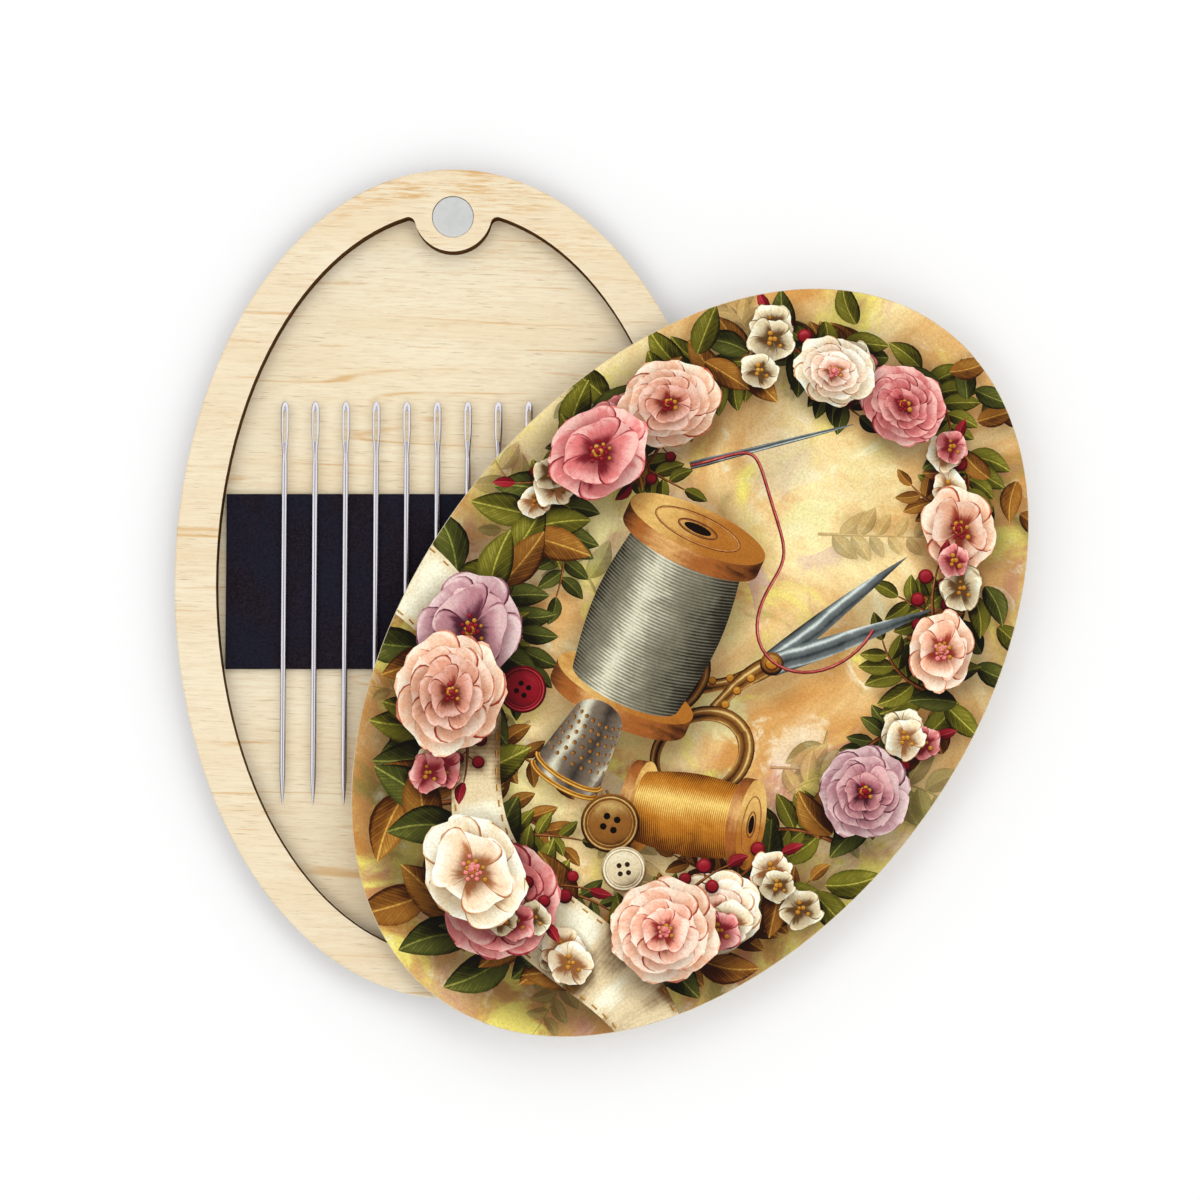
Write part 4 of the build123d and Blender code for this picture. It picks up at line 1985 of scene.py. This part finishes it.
@dataclass
class PrintedBoard:
    """Face board of the lid: a closed oval board whose top carries the picture."""

    swing: Swing
    bottom: float
    top: float
    half_width: float = 39.99 * MM
    half_length: float = 59.99 * MM
    edge_break: float = 0.2 * MM
    bare: Tones = Palette.SUNLIT.value

    def build(self, wood: bpy.types.Material) -> bpy.types.Object:
        """Makes the board and dresses it.

        Args:
            wood: Material of its walls and its underside.

        Returns:
            The finished piece.
        """
        picture = Picture(self.half_width / MM - self.edge_break / MM,
                          self.half_length / MM - self.edge_break / MM)
        WreathDesign(picture).paint()
        shape = self.board(picture)
        piece = object_from(shape, "lid_printed_board")
        piece.data.materials.append(wood)
        for brush in Brush:
            piece.data.materials.append(PRINT_FINISHES[brush](self.swing).build())
        piece.data.transform(self.swung())
        log.info("printed board has %d faces", len(piece.data.polygons))
        return piece

    def swung(self) -> Matrix:
        """The move from the closed lid to where it lies at rest."""
        there = Matrix.Translation(self.swing.pivot)
        return there @ Matrix.Rotation(-self.swing.turn, 4, "Z") @ there.inverted()

    def board(self, picture: Picture) -> bmesh.types.BMesh:
        """Shapes the closed board round the divided picture.

        Args:
            picture: The picture.

        Returns:
            The board of the closed lid, in metres.
        """
        made = bmesh.new()
        places, shown = picture.divide()
        corners = [made.verts.new((p.real * MM, p.imag * MM, self.top)) for p in places]
        order: dict[bmesh.types.BMFace, int] = {}
        for triangle, stroke in shown:
            order[made.faces.new([corners[n] for n in triangle])] = stroke
        bmesh.ops.delete(made, geom=[v for v in made.verts if not v.link_faces], context="VERTS")
        made.verts.index_update()
        self.record(made, picture, order)
        self.close(made)
        self.lay_bake_map(made)
        return made

    def record(self, made: bmesh.types.BMesh, picture: Picture,
               order: dict[bmesh.types.BMFace, int]) -> None:
        """Writes each face's brush, and each corner's brush coordinates, tones and shadow.

        Args:
            made: The board's mesh.
            picture: The picture.
            order: Number of the stroke that each face shows.
        """
        stroke_map = made.loops.layers.uv.new("stroke")
        tone_layers = [made.loops.layers.float_color.new(name) for name in ("deep", "body", "light")]
        mood = made.loops.layers.float_color.new("mood")
        bins = picture.shade_bins()
        known: dict[tuple[int, int], tuple[Point, float]] = {}
        for face, number in order.items():
            stroke = picture.strokes[number] if number >= 0 else None
            tones = stroke.tones if stroke else self.bare
            face.material_index = stroke.brush.value if stroke else Brush.WASH.value
            solid = stroke.solid if stroke else 1.0
            seed = stroke.seed if stroke else 0.0
            colours = [(*tone, 1.0) for tone in (tones.deep, tones.body, tones.light)]
            for loop in face.loops:
                key = (loop.vert.index, number)
                if key not in known:
                    point = complex(loop.vert.co.x, loop.vert.co.y) / MM
                    mark = stroke.field.read(point) if stroke else 0j
                    known[key] = (mark, self.darkness(bins, picture, point, number))
                mark, dark = known[key]
                loop[stroke_map].uv = (mark.real, mark.imag)
                for layer, colour in zip(tone_layers, colours):
                    loop[layer] = colour
                loop[mood] = (solid, seed, dark, 1.0)

    def darkness(self, bins: dict[tuple[int, int], list[Shade]], picture: Picture, point: Point,
                 number: int) -> float:
        """How dark the soft shadows make a place.

        Args:
            bins: The shadows, sorted by place.
            picture: The picture.
            point: The place in millimetres.
            number: Number of the stroke that shows there.

        Returns:
            Darkness from 0 to 1.
        """
        light = 1.0
        for shade in bins.get(picture.square(point), ()):
            if shade.order > number:
                light *= 1 - shade.at(point)
        return 1 - light

    def close(self, made: bmesh.types.BMesh) -> None:
        """Adds the broken edge, the wall and the underside.

        Args:
            made: The board's mesh, so far only its top.
        """
        top = set(made.faces)
        rim = [edge for edge in made.edges if edge.is_boundary]
        broken = self.edge_break
        half = broken / 2
        steps = ((broken - half, 0.3 * half), (0.0, broken), (0.0, self.top - self.bottom))
        inset, depth = broken, 0.0
        for number, (left, drop) in enumerate(steps):
            grown = bmesh.ops.extrude_edge_only(made, edges=rim)["geom"]
            ring = [item for item in grown if isinstance(item, bmesh.types.BMVert)]
            rim = [item for item in grown if isinstance(item, bmesh.types.BMEdge) and item.is_boundary]
            widen = [(size - left) / (size - inset) for size in (self.half_width, self.half_length)]
            bmesh.ops.scale(made, vec=(*widen, 1.0), verts=ring)
            bmesh.ops.translate(made, vec=(0.0, 0.0, depth - drop), verts=ring)
            inset, depth = left, drop
            if not number:
                top.update(made.faces)
        bmesh.ops.holes_fill(made, edges=rim, sides=0)
        for face in made.faces:
            if face not in top:
                face.material_index = 0
        bmesh.ops.recalc_face_normals(made, faces=made.faces)

    def lay_bake_map(self, made: bmesh.types.BMesh) -> None:
        """Lays the board out flat: the picture at the left, then the wall as a strip, then the underside.

        Args:
            made: The closed board.
        """
        layer = made.loops.layers.uv.new("OFBake")
        for face in made.faces:
            level = face.normal.z
            middle = face.calc_center_median()
            turn = math.atan2(middle.y / self.half_length, middle.x / self.half_width)
            for loop in face.loops:
                place = loop.vert.co
                flat = complex(place.x / self.half_width, place.y / self.half_length)
                if level > 0.9:
                    spot = complex(0.35 + 0.34 * flat.real, 0.5 + 0.49 * flat.imag)
                elif level < -0.9:
                    spot = complex(0.88 + 0.1 * flat.real, 0.5 + 0.15 * flat.imag)
                else:
                    swing = (math.atan2(flat.imag, flat.real) - turn + math.pi) % math.tau - math.pi
                    spot = complex(0.72 + 0.03 * (self.top - place.z) / (self.top - self.bottom),
                                   0.5 + 0.49 * (turn + swing) / math.pi * 0.98)
                loop[layer].uv = (spot.real, spot.imag)


@dataclass
class Studio:
    """White table top, plain soft light and the camera. Sizes in metres."""

    distance: float = 0.45
    elevation: float = math.radians(86)
    view_width: float = 0.173
    aim: Vector = field(default_factory=lambda: Vector((0.0, 0.0, 0.0)))
    framing_drop: float = 0.3 * MM
    floor_size: float = 6.0
    floor_drop: float = 0.05 * MM
    floor_grey: float = 0.9
    floor_lift: float = 0.105
    far_lift: float = 0.6
    sky: float = 0.53
    flag: float = 0.35
    flag_angle: float = math.radians(20)
    lamp_distance: float = 0.8
    lamp_height: float = math.radians(62)
    lamp_size: float = 0.42
    lamp_power: float = 0.98

    def build(self) -> None:
        """Adds the camera, the lights and the floor."""
        bpy.context.scene.view_settings.view_transform = "Standard"
        self.add_camera()
        self.add_sky()
        for number in range(4):
            heading = unit(math.pi / 2 * number) * math.cos(self.lamp_height)
            reach = Vector((heading.real, heading.imag, math.sin(self.lamp_height)))
            self.add_softbox(f"softbox_{number + 1}", self.aim + reach * self.lamp_distance)
        self.add_floor()
        log.info("studio ready")

    def add_camera(self) -> None:
        """Adds the camera, tilted back from straight above."""
        lens = bpy.data.cameras.new("camera")
        lens.sensor_width = 36.0
        lens.lens = lens.sensor_width * self.distance / self.view_width
        lens.clip_start, lens.clip_end = 0.01, 20.0
        camera = bpy.data.objects.new("camera", lens)
        back = Vector((0.0, -math.cos(self.elevation), math.sin(self.elevation)))
        camera.location = self.aim + back * self.distance - Vector((0.0, self.framing_drop, 0.0))
        camera.rotation_mode = "QUATERNION"
        camera.rotation_quaternion = (-back).to_track_quat("-Z", "Y")
        bpy.context.scene.collection.objects.link(camera)
        bpy.context.scene.camera = camera

    def add_sky(self) -> None:
        """Lights the scene evenly. The camera and reflections see white, with a grey flag overhead."""
        world = bpy.data.worlds.new("studio")
        world.use_nodes = True
        bpy.context.scene.world = world
        graph = NodeGraph(world.node_tree)
        path = graph.add("ShaderNodeLightPath")
        gloss = path.outputs["Is Glossy Ray"]
        seen = graph.math("MAXIMUM", path.outputs["Is Camera Ray"], gloss)
        seen = graph.math("MAXIMUM", seen, path.outputs["Is Transmission Ray"])
        up = graph.split(graph.add("ShaderNodeTexCoord").outputs["Generated"])[2]
        soft = math.radians(5)
        low, high = math.cos(self.flag_angle + soft), math.cos(self.flag_angle - soft)
        flag = graph.times(graph.times(gloss, graph.smooth(up, low, high)), self.flag - 1)
        light = graph.add("ShaderNodeBackground")
        graph.put(light.inputs["Color"], (1.0, 1.0, 1.0))
        graph.put(light.inputs["Strength"], graph.plus(graph.scaled(seen, 1 - self.sky, self.sky), flag))
        graph.put(graph.add("ShaderNodeOutputWorld").inputs["Surface"], light.outputs[0])

    def add_softbox(self, name: str, place: Vector) -> None:
        """Adds a square lamp that looks at the box and doesn't show in reflections.

        Args:
            name: Name of the lamp.
            place: Where it hangs.
        """
        lamp = bpy.data.lights.new(name, "AREA")
        lamp.shape = "SQUARE"
        lamp.size = self.lamp_size
        lamp.energy = self.lamp_power
        made = bpy.data.objects.new(name, lamp)
        made.location = place
        made.rotation_mode = "QUATERNION"
        made.rotation_quaternion = (self.aim - place).to_track_quat("-Z", "Y")
        made.visible_glossy = False
        bpy.context.scene.collection.objects.link(made)

    def add_floor(self) -> None:
        """Adds the white floor, which keeps the box's shadow and stays white past the lamps."""
        shape = bmesh.new()
        bmesh.ops.create_grid(shape, x_segments=1, y_segments=1, size=self.floor_size / 2)
        bmesh.ops.translate(shape, vec=(0.0, 0.0, -self.floor_drop), verts=shape.verts)
        floor = object_from(shape, "floor")
        graph = ShaderGraph("white_table")
        graph.set("Base Color", (self.floor_grey,) * 3)
        graph.set("Roughness", 0.9)
        graph.set("Specular IOR Level", 0.0)
        graph.set("Emission Color", (1.0, 1.0, 1.0))
        path = graph.add("ShaderNodeLightPath")
        seen = graph.math("MAXIMUM", path.outputs["Is Camera Ray"], path.outputs["Is Glossy Ray"])
        x, y, _ = graph.split(graph.add("ShaderNodeTexCoord").outputs["Object"])
        lift = graph.scaled(graph.smooth(graph.reach(x, y), 0.15, 0.8), self.far_lift, self.floor_lift)
        graph.set("Emission Strength", graph.times(seen, lift))
        floor.data.materials.append(graph.material)
        floor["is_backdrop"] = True


@dataclass
class Case:
    """Base plate, frame, magnet, strip and needles."""

    needle_nodes: list[str]

    def build(self, magnet: bpy.types.Material, steel: bpy.types.Material) -> None:
        """Dresses the case and makes its needles.

        Args:
            magnet: Material of the magnet.
            steel: Material of the needles.
        """
        paler = {"cream": srgb(249, 237, 208), "warm": srgb(245, 226, 190)}
        dress("base_plate", PlywoodFinish("base_plywood", stained=0.45, **paler).build())
        dress("frame_ring", PlywoodFinish("frame_plywood").build())
        dress("frame_magnet", magnet)
        dress("magnetic_strip", MagneticSheetFinish().build())
        NeedleRow(self.needle_nodes).build(steel)


@dataclass
class Lid:
    """Lid lining with its magnet and screw, and the printed face board."""

    swing: Swing

    def build(self, magnet: bpy.types.Material, screw: bpy.types.Material) -> None:
        """Dresses the lid.

        Args:
            magnet: Material of the magnet.
            screw: Material of the pivot screw.
        """
        wood = PlywoodFinish("lid_plywood", self.swing).build()
        dress("lid_lining", wood)
        dress("lid_magnet", magnet)
        dress("pivot_screw", screw)
        low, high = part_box("lid_face")
        board = PrintedBoard(self.swing, low.z, high.z).build(wood)
        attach(board, "lid")
        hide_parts("lid_face")


def main() -> None:
    """Builds the studio, the case and the lid in that order."""
    logging.basicConfig(level=logging.INFO, format="%(name)s: %(message)s")
    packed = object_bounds()
    middle = (packed[0] + packed[1]) / 2
    Studio(aim=Vector((middle.x, middle.y, 6 * MM))).build()

    magnet = MetalFinish("magnet_nickel", srgb(250, 251, 248), srgb(238, 240, 238), 0.44,
                         (2.4, 2.4, 2.4), edge_metal=0.05).build()
    # The needles get painted shade on their steep sides.
    steel = MetalFinish("needle_steel", srgb(240, 237, 243), srgb(222, 219, 227), 0.2,
                        (0.12, 14.0, 0.12), side_shade=0.65).build()
    zinc = MetalFinish("screw_zinc", srgb(186, 187, 190), srgb(160, 161, 165), 0.34).build()

    joint = frame["joints"][0]
    pivot = Vector(joint["pos_m"])
    swing = Swing(math.radians(max(joint["range_deg"])), Vector((pivot.x, pivot.y, 0.0)))
    needles = [name for name in frame["nodes"] if name.startswith("needle_")]
    Case(sorted(needles)).build(magnet, steel)
    Lid(swing).build(magnet, zinc)


if __name__ == "__main__":
    main()
